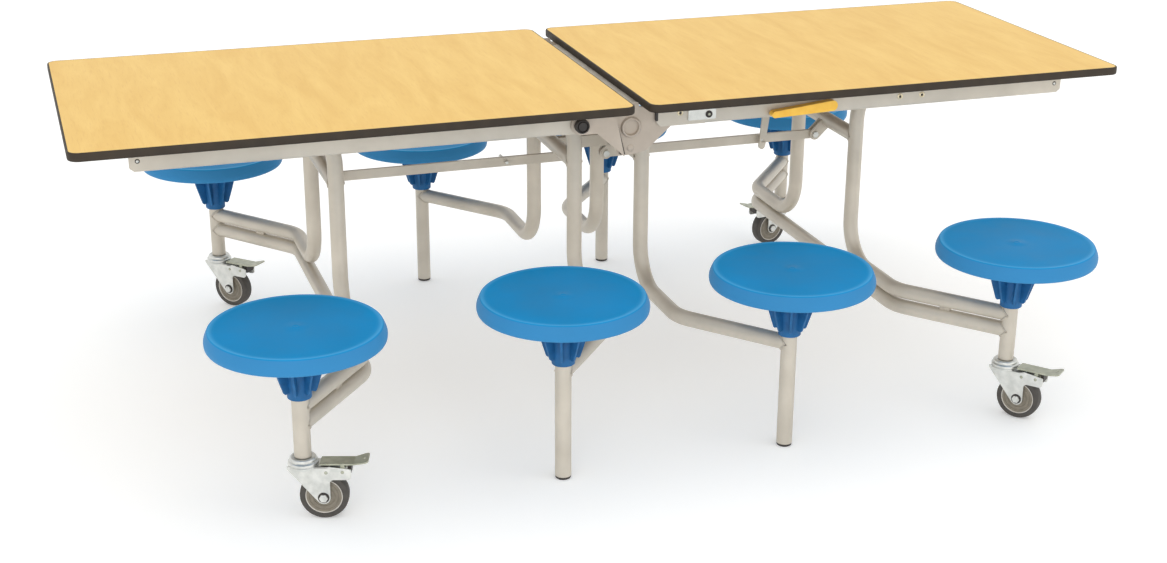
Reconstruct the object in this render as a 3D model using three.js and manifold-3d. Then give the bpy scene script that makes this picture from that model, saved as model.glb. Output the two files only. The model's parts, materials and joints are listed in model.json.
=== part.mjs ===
// Folding mobile canteen table with eight fixed stools, standing open.
// Millimetres. X runs along the table, Y across it and Z up, with the front at -Y.
// The origin is on the floor under the middle of the table.
// The table folds like a book: its two leaves swing down about the centre frame while a link
// under each leaf keeps the outer frame, with its stools and casters, upright.
import * as THREE from "three";
import { mergeVertices } from "three/addons/utils/BufferGeometryUtils.js";
import Module from "manifold-3d";

const wasm = await Module();
wasm.setup();

// Fits
const WELD_GAP = 0.3; // between welded, pressed or seated pieces
const RUNNING_GAP = 0.6; // between a pin and the hole that turns on it
const LAYER_GAP = 2; // between flat pieces that swing past each other
const CUT_OVERSHOOT = 1; // how far a cutter runs past the face that it opens
const JOIN_OVERLAP = 1; // how far two shapes of one solid run into each other

// Table top
const TABLE_HEIGHT = 735;
const TABLE_DEPTH = 790;
const LEAF_LENGTH = 1180;
const LEAF_GAP = 32;
const LEAF_THICKNESS = 18;
const LEAF_CORNER_RADIUS = 24;
const EDGE_BAND_WALL = 4;

// Folding linkage
const PIVOT_INNER_X = 125;
const FOLD_SPAN = 550; // from the inner pivot to the outer pivot of one leaf
const PIVOT_DROP = 29; // from the underside of the leaf to its pivots
const LINK_SETBACK = 78; // from a leaf pivot back to the link pivot
const LINK_HEIGHT = 22;
const LINK_THICKNESS = 8;
const LINK_PIN_RADIUS = 5;
const CATCH_PIN_RADIUS = 4;
const CATCH_PIN_LENGTH = 10;

// Rails under the leaves
const RAIL_INSET = 65; // from the long edge of the leaf in to the face of the rail
const RAIL_HEIGHT = 50;
const RAIL_WIDTH = 25;
const RAIL_WALL = 3;
const RAIL_END_INSET = 119; // from the end of the leaf to the end of the rail
const RAIL_FLANGE_START = 42; // flanges begin this far outside the inner pivot
const LEFT_RAIL_REACH = 18; // the web runs this far inside the inner pivot
const RIGHT_RAIL_REACH = 73;
const RAIL_NOSE = 10; // chamfer on the free corners of the web
const BEARING_LENGTH = 84; // block that carries the outer pivot in the rail
const BEARING_WIDTH = 16;

// Bent tube frames
const TUBE_RADIUS = 17.5;
const LEG_SETBACK = 43; // from a leaf pivot back to the leg
const LEG_TOP_LEAN = 47; // degrees that the top of the leg leans out to its pivot
const LEG_Y = 160;
const LEG_FOOT_BEND = 95;
const ARM_CORNER_Y = 407;
const ARM_BEND = 90;
const POST_REACH = 176; // from a leg out to its stool post
const POST_OVERHANG = 230; // from the long edge of the leaf out to the stool post
const CROSS_TUBE_RISE = 34; // from the link pivot up to the cross tube
const STRETCHER_DROP = 39; // from the arm down to the stretcher below it
const TIE_LENGTH = 26; // weld block between arm and stretcher
const TIE_WIDTH = 12;
const TIE_POSITION = 0.45; // share of the slanted run, from its bend to the post
const PIVOT_PIN_RADIUS = 8;

// Link brackets
const BRACKET_PLATE = 5;
const BRACKET_EYE_RADIUS = 14;
const BRACKET_SIDE_GAP = 1; // between the link and each bracket plate
const BOLT_HEAD_RADIUS = 8;
const BOLT_HEAD_LENGTH = 5;

// Hinge plates that tie the pivots over the centre
const HINGE_PLATE = 5;
const HINGE_END_RADIUS = 22;
const HINGE_SHOULDER_INSET = 37; // from the pivot in to the slanted edge
const HINGE_FOOT_X = 24;
const HINGE_DEPTH = 80; // from the pivot down to the foot of the plate
const HINGE_SEAM_TOP_X = -25; // edge of the left plate
const HINGE_SEAM_BOTTOM_X = -15;
const HINGE_LAP = 12; // the right plate runs this far behind the left one
const HINGE_RING_X = -2;
const HINGE_RING_DROP = 16;
const HINGE_RING_RADIUS = 20;
const HINGE_RING_BEAD = 2.5;
const PIVOT_CAP_RADIUS = 16;
const PIVOT_CAP_LENGTH = 14;
const PIVOT_CAP_DEPTH = 7; // how far the pin goes into the cap
const LOCK_PLATE_LENGTH = 66;
const LOCK_PLATE_HEIGHT = 23;
const LOCK_PLATE_CORNER = 3;
const LOCK_PLATE_THICKNESS = 3;
const LOCK_PLATE_OFFSET = 34; // from the inner pivot out to the middle of the plate
const LOCK_BUTTON_OFFSET = 16; // from the middle of the plate out to its button
const LOCK_BUTTON_RADIUS = 8;
const LOCK_BUTTON_LENGTH = 3;

// Latch on the right leaf
const LATCH_SHAFT_X = 470;
const LATCH_SHAFT_RADIUS = 6;
const LATCH_NOTCH_X = 450;
const LATCH_PLATE = 6;
const LATCH_ARM_RADIUS = 11;
const LATCH_TIP_RADIUS = 8;
const LATCH_TIP_LENGTH = 14; // below the catch pin
const LATCH_HANDLE_LENGTH = 150;
const LATCH_HANDLE_BOSS_RADIUS = 10;
const LATCH_HANDLE_TIP_RADIUS = 6;
const LATCH_HANDLE_WIDTH = 18;
const LATCH_HANDLE_STANDOFF = 4;
const LATCH_HANDLE_TILT = 4; // degrees that the free end hangs down
const LATCH_HANDLE_EDGE = 2;
const LATCH_BRACKET_Y = -60;
const LATCH_BRACKET_LENGTH = 44;
const LATCH_BRACKET_FOOT = 30;

// Stools
const SEAT_HEIGHT = 418;
const SEAT_RADIUS = 179;
const SEAT_RIM_DEPTH = 34;
const SEAT_EDGE_RADIUS = 16;
const SEAT_WALL = 6;
const HUB_LENGTH = 153; // from the top of the seat to the foot of its hub
const HUB_WALL = 7;
const HUB_ROOF = 22; // from the top of the seat to the top of the post
const RIB_COUNT = 8;
const RIB_THICKNESS = 5;
const RIB_TOE_RADIUS = 36;
const RIB_TOE_HEIGHT = 14; // above the foot of the hub
const RIB_WAIST_RADIUS = 52;
const RIB_WAIST_DEPTH = 84; // below the top of the seat
const RIB_TOP_RADIUS = 62;
const ARM_CLEARANCE = 3; // between the arm and the hub above it

// Glides under the centre posts
const GLIDE_RADIUS = 17;
const GLIDE_HEIGHT = 6;
const GLIDE_STEM_RADIUS = 12;
const GLIDE_STEM_LENGTH = 22;

// Casters under the outer posts
const WHEEL_RADIUS = 50;
const WHEEL_WIDTH = 30;
const TYRE_DEPTH = 12;
const WHEEL_FACE_RECESS = 3;
const TYRE_INSET = 1; // from the end of the hub in to the side of the tyre
const WHEEL_HUB_RADIUS = 14;
const AXLE_RADIUS = 6;
const AXLE_HEAD_RADIUS = 9;
const AXLE_HEAD_LENGTH = 5;
const CASTER_TRAIL = 40;
const CASTER_HEIGHT = 136;
const FORK_PLATE = 3;
const FORK_SIDE_GAP = 2;
const FORK_CROWN_HEIGHT = 119;
const FORK_CROWN_PLATE = 4;
const FORK_AXLE_EYE_RADIUS = 14;
const FORK_TAIL_LENGTH = 57; // from the axle out to the end of the brake arm
const FORK_TAIL_BOTTOM = 90;
const FORK_TAIL_SLOPE = 5;
const FORK_THROAT = 14; // from the axle out to the edge below the brake arm
const COLLAR_RADIUS = 31;
const COLLAR_STEP = 3;
const COLLAR_RISE = 8; // from the crown up to the step of the collar
const CASTER_STEM_RADIUS = 10;
const CASTER_STEM_LENGTH = 40;
const PEDAL_PIVOT_OUT = 40; // from the axle out to the pedal's pin
const PEDAL_PIVOT_HEIGHT = 107;
const PEDAL_PIN_RADIUS = 3.5;
const PEDAL_EAR = 3;
const PEDAL_WIDTH = 36;
const PEDAL_THICKNESS = 3;
const PEDAL_LIFT = 3; // above the crown of the fork
const PEDAL_BEND_OUT = 64; // from the axle out to the bend of the pedal
const PEDAL_TIP_OUT = 93;
const PEDAL_TIP_RISE = 7;
const PEDAL_TIP_FLARE = 10;
const PEDAL_COLLAR_GAP = 4;
const SHOE_LENGTH = 7;
const SHOE_HEIGHT = 20;
const SHOE_WIDTH = 26;
const CASTER_TURN = { left_front: -18, right_front: -51, left_rear: -45, right_rear: -167 };

// Smoothness of round shapes
const TUBE_SIDES = 10;
const PIN_SIDES = 8; // for pins up to 6 in radius
const HEX_SIDES = 6;
const SEAT_SIDES = 16;
const WHEEL_SIDES = 16;
const COLLAR_SIDES = 12;
const COPE_SIDES = 12;
const BEND_STEP = 30; // degrees
const ARC_SEGMENTS = 3;

// Derived heights and places
const LEAF_BOTTOM_Z = TABLE_HEIGHT - LEAF_THICKNESS;
const LEAF_INNER_X = LEAF_GAP / 2;
const LEAF_OUTER_X = LEAF_INNER_X + LEAF_LENGTH;
const RAIL_FACE_Y = TABLE_DEPTH / 2 - RAIL_INSET;
const POST_Y = TABLE_DEPTH / 2 + POST_OVERHANG;
const PIVOT_Z = LEAF_BOTTOM_Z - PIVOT_DROP;
const PIVOT_OUTER_X = PIVOT_INNER_X + FOLD_SPAN;
// With this drop the latch meets a catch pin both when the table is open and when it is folded.
const LINK_DROP = 2 * PIVOT_INNER_X - LINK_SETBACK;
const LINK_Z = PIVOT_Z - LINK_DROP;
const LINK_INNER_X = PIVOT_INNER_X - LINK_SETBACK;
const LINK_OUTER_X = PIVOT_OUTER_X - LINK_SETBACK;
const LINK_FACE_Y = LINK_THICKNESS / 2;
const RIGHT_CATCH_X = LATCH_NOTCH_X;
const LEFT_CATCH_X = LINK_INNER_X + LATCH_NOTCH_X - PIVOT_INNER_X - LINK_DROP;
const CATCH_PIN_END_Y = -LINK_FACE_Y - CATCH_PIN_LENGTH;
const CROSS_TUBE_Z = LINK_Z + CROSS_TUBE_RISE;
const HUB_FOOT_Z = SEAT_HEIGHT - HUB_LENGTH;
const POST_TOP_Z = SEAT_HEIGHT - HUB_ROOF - WELD_GAP;
const ARM_Z = HUB_FOOT_Z - ARM_CLEARANCE - TUBE_RADIUS;
const STRETCHER_Z = ARM_Z - STRETCHER_DROP;
const RAIL_BOTTOM_Z = LEAF_BOTTOM_Z - RAIL_HEIGHT;
const RAIL_END_X = LEAF_OUTER_X - RAIL_END_INSET;
const RAIL_INNER_Y = RAIL_FACE_Y - RAIL_WIDTH;
const WEB_INNER_Y = RAIL_FACE_Y - RAIL_WALL;
const OUTER_PLATE_Y = RAIL_FACE_Y + LAYER_GAP;
const INNER_PLATE_Y = WEB_INNER_Y - LAYER_GAP - HINGE_PLATE;
const BRACKET_INNER_Y = LINK_FACE_Y + BRACKET_SIDE_GAP;
const BRACKET_OUTER_Y = BRACKET_INNER_Y + BRACKET_PLATE;
const LATCH_PLATE_Y = CATCH_PIN_END_Y - LAYER_GAP;
const HANDLE_BACK_Y = -RAIL_FACE_Y - LATCH_HANDLE_STANDOFF;
const FORK_INNER_Y = WHEEL_WIDTH / 2 + FORK_SIDE_GAP;
const FORK_OUTER_Y = FORK_INNER_Y + FORK_PLATE;

// Finishes
const finish = (color, roughness, metalness = 0) =>
  new THREE.MeshStandardMaterial({ color, roughness, metalness });
const MAPLE_LAMINATE = finish(0xf0c878, 0.4);
const EDGE_MOULDING = finish(0x45403d, 0.6);
const PAINTED_STEEL = finish(0xc4bdb0, 0.4, 0.6);
const SEAT_PLASTIC = finish(0x1e86c8, 0.45);
const ZINC = finish(0xc8c9c6, 0.35, 0.9);
const GREY_RUBBER = finish(0x5a5652, 0.7);
const YELLOW_PLASTIC = finish(0xf2b632, 0.45);
const BLACK_PLASTIC = finish(0x2a2725, 0.6);

// Solid helpers

// A closed geometry as a solid that can be joined and cut.
function solid(geometry) {
  const bare = new THREE.BufferGeometry();
  bare.setAttribute("position", geometry.getAttribute("position"));
  bare.setIndex(geometry.getIndex());
  const merged = mergeVertices(bare, 1e-4);
  const vertProperties = new Float32Array(merged.getAttribute("position").array);
  const triVerts = new Uint32Array(merged.getIndex().array);
  return new wasm.Manifold(new wasm.Mesh({ numProp: 3, vertProperties, triVerts }));
}

function join(...solids) {
  return solids.reduce((sum, next) => sum.add(next));
}

function cut(base, ...tools) {
  return tools.reduce((rest, tool) => rest.subtract(tool), base);
}

function surfaceOf(body) {
  const mesh = body.getMesh();
  const geometry = new THREE.BufferGeometry();
  geometry.setAttribute("position", new THREE.BufferAttribute(mesh.vertProperties, 3));
  geometry.setIndex(new THREE.BufferAttribute(mesh.triVerts, 1));
  geometry.computeVertexNormals();
  return geometry;
}

const degrees = THREE.MathUtils.degToRad;
const point = (x, z) => new THREE.Vector2(x, z);

// A round bar along Y.
function barY(radius, startY, endY, x, z, sides = TUBE_SIDES) {
  const bar = new THREE.CylinderGeometry(radius, radius, endY - startY, sides);
  return solid(bar.translate(x, (startY + endY) / 2, z));
}

// A round bar along Z.
function barZ(radius, startZ, endZ, x, y, sides = TUBE_SIDES) {
  const bar = new THREE.CylinderGeometry(radius, radius, endZ - startZ, sides).rotateX(Math.PI / 2);
  return solid(bar.translate(x, y, (startZ + endZ) / 2));
}

// A cutter that clears a round tube whichever way its sides are turned.
function clearingRadius(radius) {
  return (radius + WELD_GAP) / Math.cos(Math.PI / COPE_SIDES);
}

function block(startX, endX, startY, endY, startZ, endZ) {
  const box = new THREE.BoxGeometry(endX - startX, endY - startY, endZ - startZ);
  return solid(box.translate((startX + endX) / 2, (startY + endY) / 2, (startZ + endZ) / 2));
}

// A flat plate whose outline lies in the XZ plane, from startY to endY.
function plate(outline, startY, endY) {
  const sheet = new THREE.ExtrudeGeometry(outline, {
    depth: endY - startY,
    bevelEnabled: false,
    curveSegments: ARC_SEGMENTS,
  });
  return solid(sheet.rotateX(Math.PI / 2).translate(0, endY, 0));
}

// An outline with two round ends, which may differ in radius.
function strap(start, end, startRadius, endRadius = startRadius) {
  const along = Math.atan2(end.y - start.y, end.x - start.x);
  const spread = Math.acos((startRadius - endRadius) / start.distanceTo(end));
  return new THREE.Shape()
    .absarc(start.x, start.y, startRadius, along + spread, along - spread + 2 * Math.PI)
    .absarc(end.x, end.y, endRadius, along - spread, along + spread);
}

function roundedRectangle(startX, endX, halfY, radius) {
  return new THREE.Shape()
    .absarc(endX - radius, halfY - radius, radius, 0, Math.PI / 2)
    .absarc(startX + radius, halfY - radius, radius, Math.PI / 2, Math.PI)
    .absarc(startX + radius, radius - halfY, radius, Math.PI, 1.5 * Math.PI)
    .absarc(endX - radius, radius - halfY, radius, 1.5 * Math.PI, 2 * Math.PI);
}

// A turned shape about Z, from a profile of radius and height.
function turned(profile, sides) {
  return solid(new THREE.LatheGeometry(profile, sides).rotateX(Math.PI / 2));
}

// A tube's centre line: straight runs with a round bend at each corner.
// It has one station at each end of a run and several round each bend.
class BentLine extends THREE.Curve {
  constructor(corners, bendRadii) {
    super();
    const runs = corners.slice(1).map((corner, i) => corner.clone().sub(corners[i]).normalize());
    this.stations = [{ place: corners[0], heading: runs[0] }];
    bendRadii.forEach((radius, i) => this.addBend(corners[i + 1], runs[i], runs[i + 1], radius));
    this.stations.push({ place: corners.at(-1), heading: runs.at(-1) });
  }

  addBend(corner, heading, nextHeading, radius) {
    const turn = heading.angleTo(nextHeading);
    const side = nextHeading.clone().addScaledVector(heading, -heading.dot(nextHeading)).normalize();
    const start = corner.clone().addScaledVector(heading, -radius * Math.tan(turn / 2));
    const steps = Math.ceil(turn / degrees(BEND_STEP));
    for (let step = 0; step <= steps; step++) {
      const angle = (turn * step) / steps;
      const place = start.clone().addScaledVector(heading, radius * Math.sin(angle));
      place.addScaledVector(side, radius * (1 - Math.cos(angle)));
      const turnedHeading = heading.clone().multiplyScalar(Math.cos(angle));
      turnedHeading.addScaledVector(side, Math.sin(angle));
      this.stations.push({ place, heading: turnedHeading });
    }
  }

  station(u) {
    return this.stations[Math.round(u * (this.stations.length - 1))];
  }

  getPointAt(u, target = new THREE.Vector3()) {
    return target.copy(this.station(u).place);
  }

  getTangentAt(u, target = new THREE.Vector3()) {
    return target.copy(this.station(u).heading);
  }
}

function bentTube(corners, bendRadii) {
  const extrudePath = new BentLine(corners, bendRadii);
  const section = new THREE.Shape().absarc(0, 0, TUBE_RADIUS, 0, 2 * Math.PI);
  const steps = extrudePath.stations.length - 1;
  const curveSegments = TUBE_SIDES / 2;
  return solid(new THREE.ExtrudeGeometry(section, { extrudePath, steps, curveSegments }));
}

// Table top and rails

function leafOutline(inset) {
  return roundedRectangle(
    LEAF_INNER_X + inset,
    LEAF_OUTER_X - inset,
    TABLE_DEPTH / 2 - inset,
    LEAF_CORNER_RADIUS - inset,
  );
}

function leafSlab(outline) {
  const slab = new THREE.ExtrudeGeometry(outline, {
    depth: LEAF_THICKNESS,
    bevelEnabled: false,
    curveSegments: ARC_SEGMENTS,
  });
  return solid(slab.translate(0, 0, LEAF_BOTTOM_Z));
}

function board() {
  return leafSlab(leafOutline(EDGE_BAND_WALL + WELD_GAP));
}

function edgeBand() {
  const outline = leafOutline(0);
  outline.holes.push(leafOutline(EDGE_BAND_WALL));
  return leafSlab(outline);
}

// A front rail: an open channel that narrows to its web alone towards the middle of the table.
function rail(reach) {
  const top = LEAF_BOTTOM_Z - WELD_GAP;
  const channelStart = PIVOT_INNER_X + RAIL_FLANGE_START;
  const webStart = PIVOT_INNER_X - reach;
  const webOutline = new THREE.Shape()
    .moveTo(webStart, top)
    .lineTo(webStart, RAIL_BOTTOM_Z + RAIL_NOSE)
    .lineTo(webStart + RAIL_NOSE, RAIL_BOTTOM_Z)
    .lineTo(RAIL_END_X - RAIL_NOSE, RAIL_BOTTOM_Z)
    .lineTo(RAIL_END_X, RAIL_BOTTOM_Z + RAIL_NOSE)
    .lineTo(RAIL_END_X, top);
  const flangeEnd = RAIL_END_X - RAIL_NOSE;
  const flange = (bottom) =>
    block(channelStart, flangeEnd, -WEB_INNER_Y, -RAIL_INNER_Y, bottom, bottom + RAIL_WALL);
  const bearing = block(
    PIVOT_OUTER_X - BEARING_LENGTH / 2,
    PIVOT_OUTER_X + BEARING_LENGTH / 2,
    -WEB_INNER_Y,
    -WEB_INNER_Y + BEARING_WIDTH,
    RAIL_BOTTOM_Z,
    top,
  );
  const channel = join(
    plate(webOutline, -RAIL_FACE_Y, -WEB_INNER_Y),
    flange(RAIL_BOTTOM_Z),
    flange(top - RAIL_WALL),
    bearing,
  );
  const pinHole = PIVOT_PIN_RADIUS + RUNNING_GAP;
  return cut(
    channel,
    barY(pinHole, -RAIL_FACE_Y - CUT_OVERSHOOT, -RAIL_INNER_Y, PIVOT_INNER_X, PIVOT_Z),
    barY(pinHole, -WEB_INNER_Y, -RAIL_INNER_Y, PIVOT_OUTER_X, PIVOT_Z),
  );
}

// The right front rail also carries the latch shaft.
function latchRail() {
  const hole = LATCH_SHAFT_RADIUS + RUNNING_GAP;
  const start = -RAIL_FACE_Y - CUT_OVERSHOOT;
  return cut(rail(RIGHT_RAIL_REACH), barY(hole, start, -RAIL_INNER_Y, LATCH_SHAFT_X, PIVOT_Z, PIN_SIDES));
}

function lockPlate() {
  const middleX = PIVOT_INNER_X + LOCK_PLATE_OFFSET;
  const back = -RAIL_FACE_Y - WELD_GAP;
  const face = back - LOCK_PLATE_THICKNESS;
  const halfLength = LOCK_PLATE_LENGTH / 2;
  const outline = roundedRectangle(
    middleX - halfLength,
    middleX + halfLength,
    LOCK_PLATE_HEIGHT / 2,
    LOCK_PLATE_CORNER,
  );
  const cover = plate(outline, face, back).translate([0, 0, PIVOT_Z]);
  const buttonX = middleX + LOCK_BUTTON_OFFSET;
  return join(cover, barY(LOCK_BUTTON_RADIUS, face - LOCK_BUTTON_LENGTH, back, buttonX, PIVOT_Z));
}

// Hinge plates and pivots

// Outline of a plate that runs from the inner pivot to the middle of the table.
function hingeOutline(topX, bottomX) {
  const top = PIVOT_Z + HINGE_END_RADIUS;
  const shoulder = PIVOT_Z - HINGE_END_RADIUS;
  const foot = PIVOT_Z - HINGE_DEPTH;
  return new THREE.Shape()
    .moveTo(topX, top)
    .lineTo(bottomX, foot)
    .quadraticCurveTo(HINGE_FOOT_X, foot, HINGE_FOOT_X + HINGE_END_RADIUS / 2, foot + HINGE_END_RADIUS / 2)
    .lineTo(PIVOT_INNER_X - HINGE_SHOULDER_INSET, shoulder)
    .absarc(PIVOT_INNER_X, PIVOT_Z, HINGE_END_RADIUS, -Math.PI / 2, Math.PI / 2);
}

function pinHoleThroughPlate(startY, endY) {
  const radius = PIVOT_PIN_RADIUS + WELD_GAP;
  return barY(radius, startY - CUT_OVERSHOOT, endY + CUT_OVERSHOOT, PIVOT_INNER_X, PIVOT_Z);
}

// The left plate is drawn for the right side and mirrored, and lies outside the rail.
function leftHingePlate() {
  const start = -OUTER_PLATE_Y - HINGE_PLATE;
  const end = -OUTER_PLATE_Y;
  const outline = hingeOutline(-HINGE_SEAM_TOP_X, -HINGE_SEAM_BOTTOM_X);
  return cut(plate(outline, start, end), pinHoleThroughPlate(start, end));
}

// The right plate lies inside the rail, laps behind the left one and has a raised ring.
function rightHingePlate() {
  const start = -INNER_PLATE_Y - HINGE_PLATE;
  const end = -INNER_PLATE_Y;
  const outline = hingeOutline(HINGE_SEAM_TOP_X - HINGE_LAP, HINGE_SEAM_BOTTOM_X - HINGE_LAP);
  const ring = new THREE.TorusGeometry(HINGE_RING_RADIUS, HINGE_RING_BEAD, 6, TUBE_SIDES);
  ring.rotateX(Math.PI / 2).translate(HINGE_RING_X, start, PIVOT_Z - HINGE_RING_DROP);
  return cut(join(plate(outline, start, end), solid(ring)), pinHoleThroughPlate(start, end));
}

// A pivot tube across the table with a pin at each end, of its own length front and rear.
function pivotTube(x, tubeEndY, frontPinY, rearPinY) {
  return join(
    barY(TUBE_RADIUS, -tubeEndY, tubeEndY, x, PIVOT_Z),
    barY(PIVOT_PIN_RADIUS, -frontPinY, rearPinY, x, PIVOT_Z),
  );
}

function leftInnerPivotTube() {
  const plateFace = OUTER_PLATE_Y + HINGE_PLATE;
  return pivotTube(PIVOT_INNER_X, RAIL_INNER_Y - LAYER_GAP, plateFace + PIVOT_CAP_DEPTH, plateFace);
}

function rightInnerPivotTube() {
  const pinEnd = RAIL_FACE_Y - WELD_GAP;
  return pivotTube(PIVOT_INNER_X, INNER_PLATE_Y - WELD_GAP, pinEnd, pinEnd);
}

function outerPivotTube() {
  const tubeEnd = WEB_INNER_Y - BEARING_WIDTH - RUNNING_GAP;
  const pinEnd = WEB_INNER_Y - RUNNING_GAP;
  return pivotTube(PIVOT_OUTER_X, tubeEnd, pinEnd, pinEnd);
}

function pivotCap() {
  const back = -OUTER_PLATE_Y - HINGE_PLATE - WELD_GAP;
  const face = back - PIVOT_CAP_LENGTH;
  const boreEnd = -OUTER_PLATE_Y - HINGE_PLATE - PIVOT_CAP_DEPTH - WELD_GAP;
  return cut(
    barY(PIVOT_CAP_RADIUS, face, back, PIVOT_INNER_X, PIVOT_Z),
    barY(PIVOT_PIN_RADIUS + WELD_GAP, boreEnd, back + CUT_OVERSHOOT, PIVOT_INNER_X, PIVOT_Z),
  );
}

// Links and their brackets

// A link drawn for the right side, with its catch pin on the front face.
function link(catchX) {
  const holes = [LINK_INNER_X, LINK_OUTER_X].map((x) =>
    barY(LINK_PIN_RADIUS + RUNNING_GAP, -LINK_THICKNESS, LINK_THICKNESS, x, LINK_Z, PIN_SIDES),
  );
  const ends = strap(point(LINK_INNER_X, LINK_Z), point(LINK_OUTER_X, LINK_Z), LINK_HEIGHT / 2);
  const pinStart = -LINK_FACE_Y + JOIN_OVERLAP;
  const pin = barY(CATCH_PIN_RADIUS, CATCH_PIN_END_Y, pinStart, catchX, LINK_Z, PIN_SIDES);
  return join(cut(plate(ends, -LINK_FACE_Y, LINK_FACE_Y), ...holes), pin);
}

// Two plates, a pin between them and a bolt head in front, hanging from a cross tube.
function linkBracket(tubeX, linkX) {
  const outline = () =>
    strap(point(tubeX, CROSS_TUBE_Z), point(linkX, LINK_Z), BRACKET_EYE_RADIUS);
  return join(
    plate(outline(), -BRACKET_OUTER_Y, -BRACKET_INNER_Y),
    plate(outline(), BRACKET_INNER_Y, BRACKET_OUTER_Y),
    barY(LINK_PIN_RADIUS, -BRACKET_OUTER_Y, BRACKET_OUTER_Y, linkX, LINK_Z, PIN_SIDES),
    barY(BOLT_HEAD_RADIUS, -BRACKET_OUTER_Y - BOLT_HEAD_LENGTH, -BRACKET_OUTER_Y, linkX, LINK_Z, HEX_SIDES),
  );
}

// A tube between the front and rear legs, hollowed at its ends to sit on them.
function crossTube(x) {
  const seats = [-LEG_Y, LEG_Y].map((y) =>
    barZ(
      clearingRadius(TUBE_RADIUS),
      CROSS_TUBE_Z - 2 * TUBE_RADIUS,
      CROSS_TUBE_Z + 2 * TUBE_RADIUS,
      x,
      y,
      COPE_SIDES,
    ),
  );
  return cut(barY(TUBE_RADIUS, -LEG_Y, LEG_Y, x, CROSS_TUBE_Z), ...seats);
}

function outerCrossTube() {
  return join(crossTube(PIVOT_OUTER_X - LEG_SETBACK), linkBracket(PIVOT_OUTER_X - LEG_SETBACK, LINK_OUTER_X));
}

// Both centre cross tubes, tied by two plates that carry the links' inner pins.
function linkCarrier() {
  const legX = PIVOT_INNER_X - LEG_SETBACK;
  const tie = () =>
    strap(point(-legX, CROSS_TUBE_Z), point(legX, CROSS_TUBE_Z), BRACKET_EYE_RADIUS);
  return join(
    crossTube(-legX),
    crossTube(legX),
    plate(tie(), -BRACKET_OUTER_Y, -BRACKET_INNER_Y),
    plate(tie(), BRACKET_INNER_Y, BRACKET_OUTER_Y),
    linkBracket(-legX, -LINK_INNER_X),
    linkBracket(legX, LINK_INNER_X),
  );
}

// Legs, stretchers and stools

// A front leg: from its pivot down, out along an arm and to the stool post at its end.
function leg(pivotX, postFootZ, socketRadius, socketDepth) {
  const legX = pivotX - LEG_SETBACK;
  const postX = legX + POST_REACH;
  const lean = degrees(LEG_TOP_LEAN);
  const topBend = LEG_SETBACK / (1 - Math.cos(lean));
  const kinkZ = PIVOT_Z - LEG_SETBACK / Math.tan(lean);
  const tube = bentTube(
    [
      new THREE.Vector3(pivotX, -LEG_Y, PIVOT_Z),
      new THREE.Vector3(legX, -LEG_Y, kinkZ),
      new THREE.Vector3(legX, -LEG_Y, ARM_Z),
      new THREE.Vector3(legX, -ARM_CORNER_Y, ARM_Z),
      new THREE.Vector3(postX, -POST_Y, ARM_Z),
    ],
    [topBend, LEG_FOOT_BEND, ARM_BEND],
  );
  const saddle = barY(
    clearingRadius(TUBE_RADIUS),
    -LEG_Y - 2 * TUBE_RADIUS,
    -LEG_Y + 2 * TUBE_RADIUS,
    pivotX,
    PIVOT_Z,
    COPE_SIDES,
  );
  const post = barZ(TUBE_RADIUS, postFootZ, POST_TOP_Z, postX, -POST_Y);
  const socketStart = postFootZ - CUT_OVERSHOOT;
  const socket = barZ(socketRadius, socketStart, postFootZ + socketDepth, postX, -POST_Y);
  return cut(join(cut(tube, saddle), post), socket);
}

function innerLeg() {
  const socketDepth = GLIDE_STEM_LENGTH + WELD_GAP;
  return leg(PIVOT_INNER_X, GLIDE_HEIGHT + WELD_GAP, GLIDE_STEM_RADIUS + WELD_GAP, socketDepth);
}

function outerLeg() {
  const socketDepth = CASTER_STEM_LENGTH + RUNNING_GAP;
  return leg(PIVOT_OUTER_X, CASTER_HEIGHT, CASTER_STEM_RADIUS + RUNNING_GAP, socketDepth);
}

// The lower tube of an outer frame, from post to post under both arms.
function stretcher() {
  const legX = PIVOT_OUTER_X - LEG_SETBACK;
  const postX = legX + POST_REACH;
  const corner = (x, y) => new THREE.Vector3(x, y, STRETCHER_Z);
  const tube = bentTube(
    [corner(postX, -POST_Y), corner(legX, -ARM_CORNER_Y), corner(legX, ARM_CORNER_Y), corner(postX, POST_Y)],
    [ARM_BEND, ARM_BEND],
  );
  const ends = [-POST_Y, POST_Y].map((y) =>
    barZ(
      clearingRadius(TUBE_RADIUS),
      STRETCHER_Z - 2 * TUBE_RADIUS,
      STRETCHER_Z + 2 * TUBE_RADIUS,
      postX,
      y,
      COPE_SIDES,
    ),
  );
  return join(cut(tube, ...ends), weldTie(-1), weldTie(1));
}

// A small block that stands on the stretcher and ends just below the arm.
function weldTie(side) {
  const run = new THREE.Vector2(POST_REACH, side * (POST_Y - ARM_CORNER_Y));
  const middle = run.clone().multiplyScalar(TIE_POSITION);
  const height = STRETCHER_DROP - TUBE_RADIUS - WELD_GAP;
  const tie = new THREE.BoxGeometry(TIE_LENGTH, TIE_WIDTH, height);
  tie.rotateZ(run.angle());
  const x = PIVOT_OUTER_X - LEG_SETBACK + middle.x;
  return solid(tie.translate(x, side * ARM_CORNER_Y + middle.y, STRETCHER_Z + height / 2));
}

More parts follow.
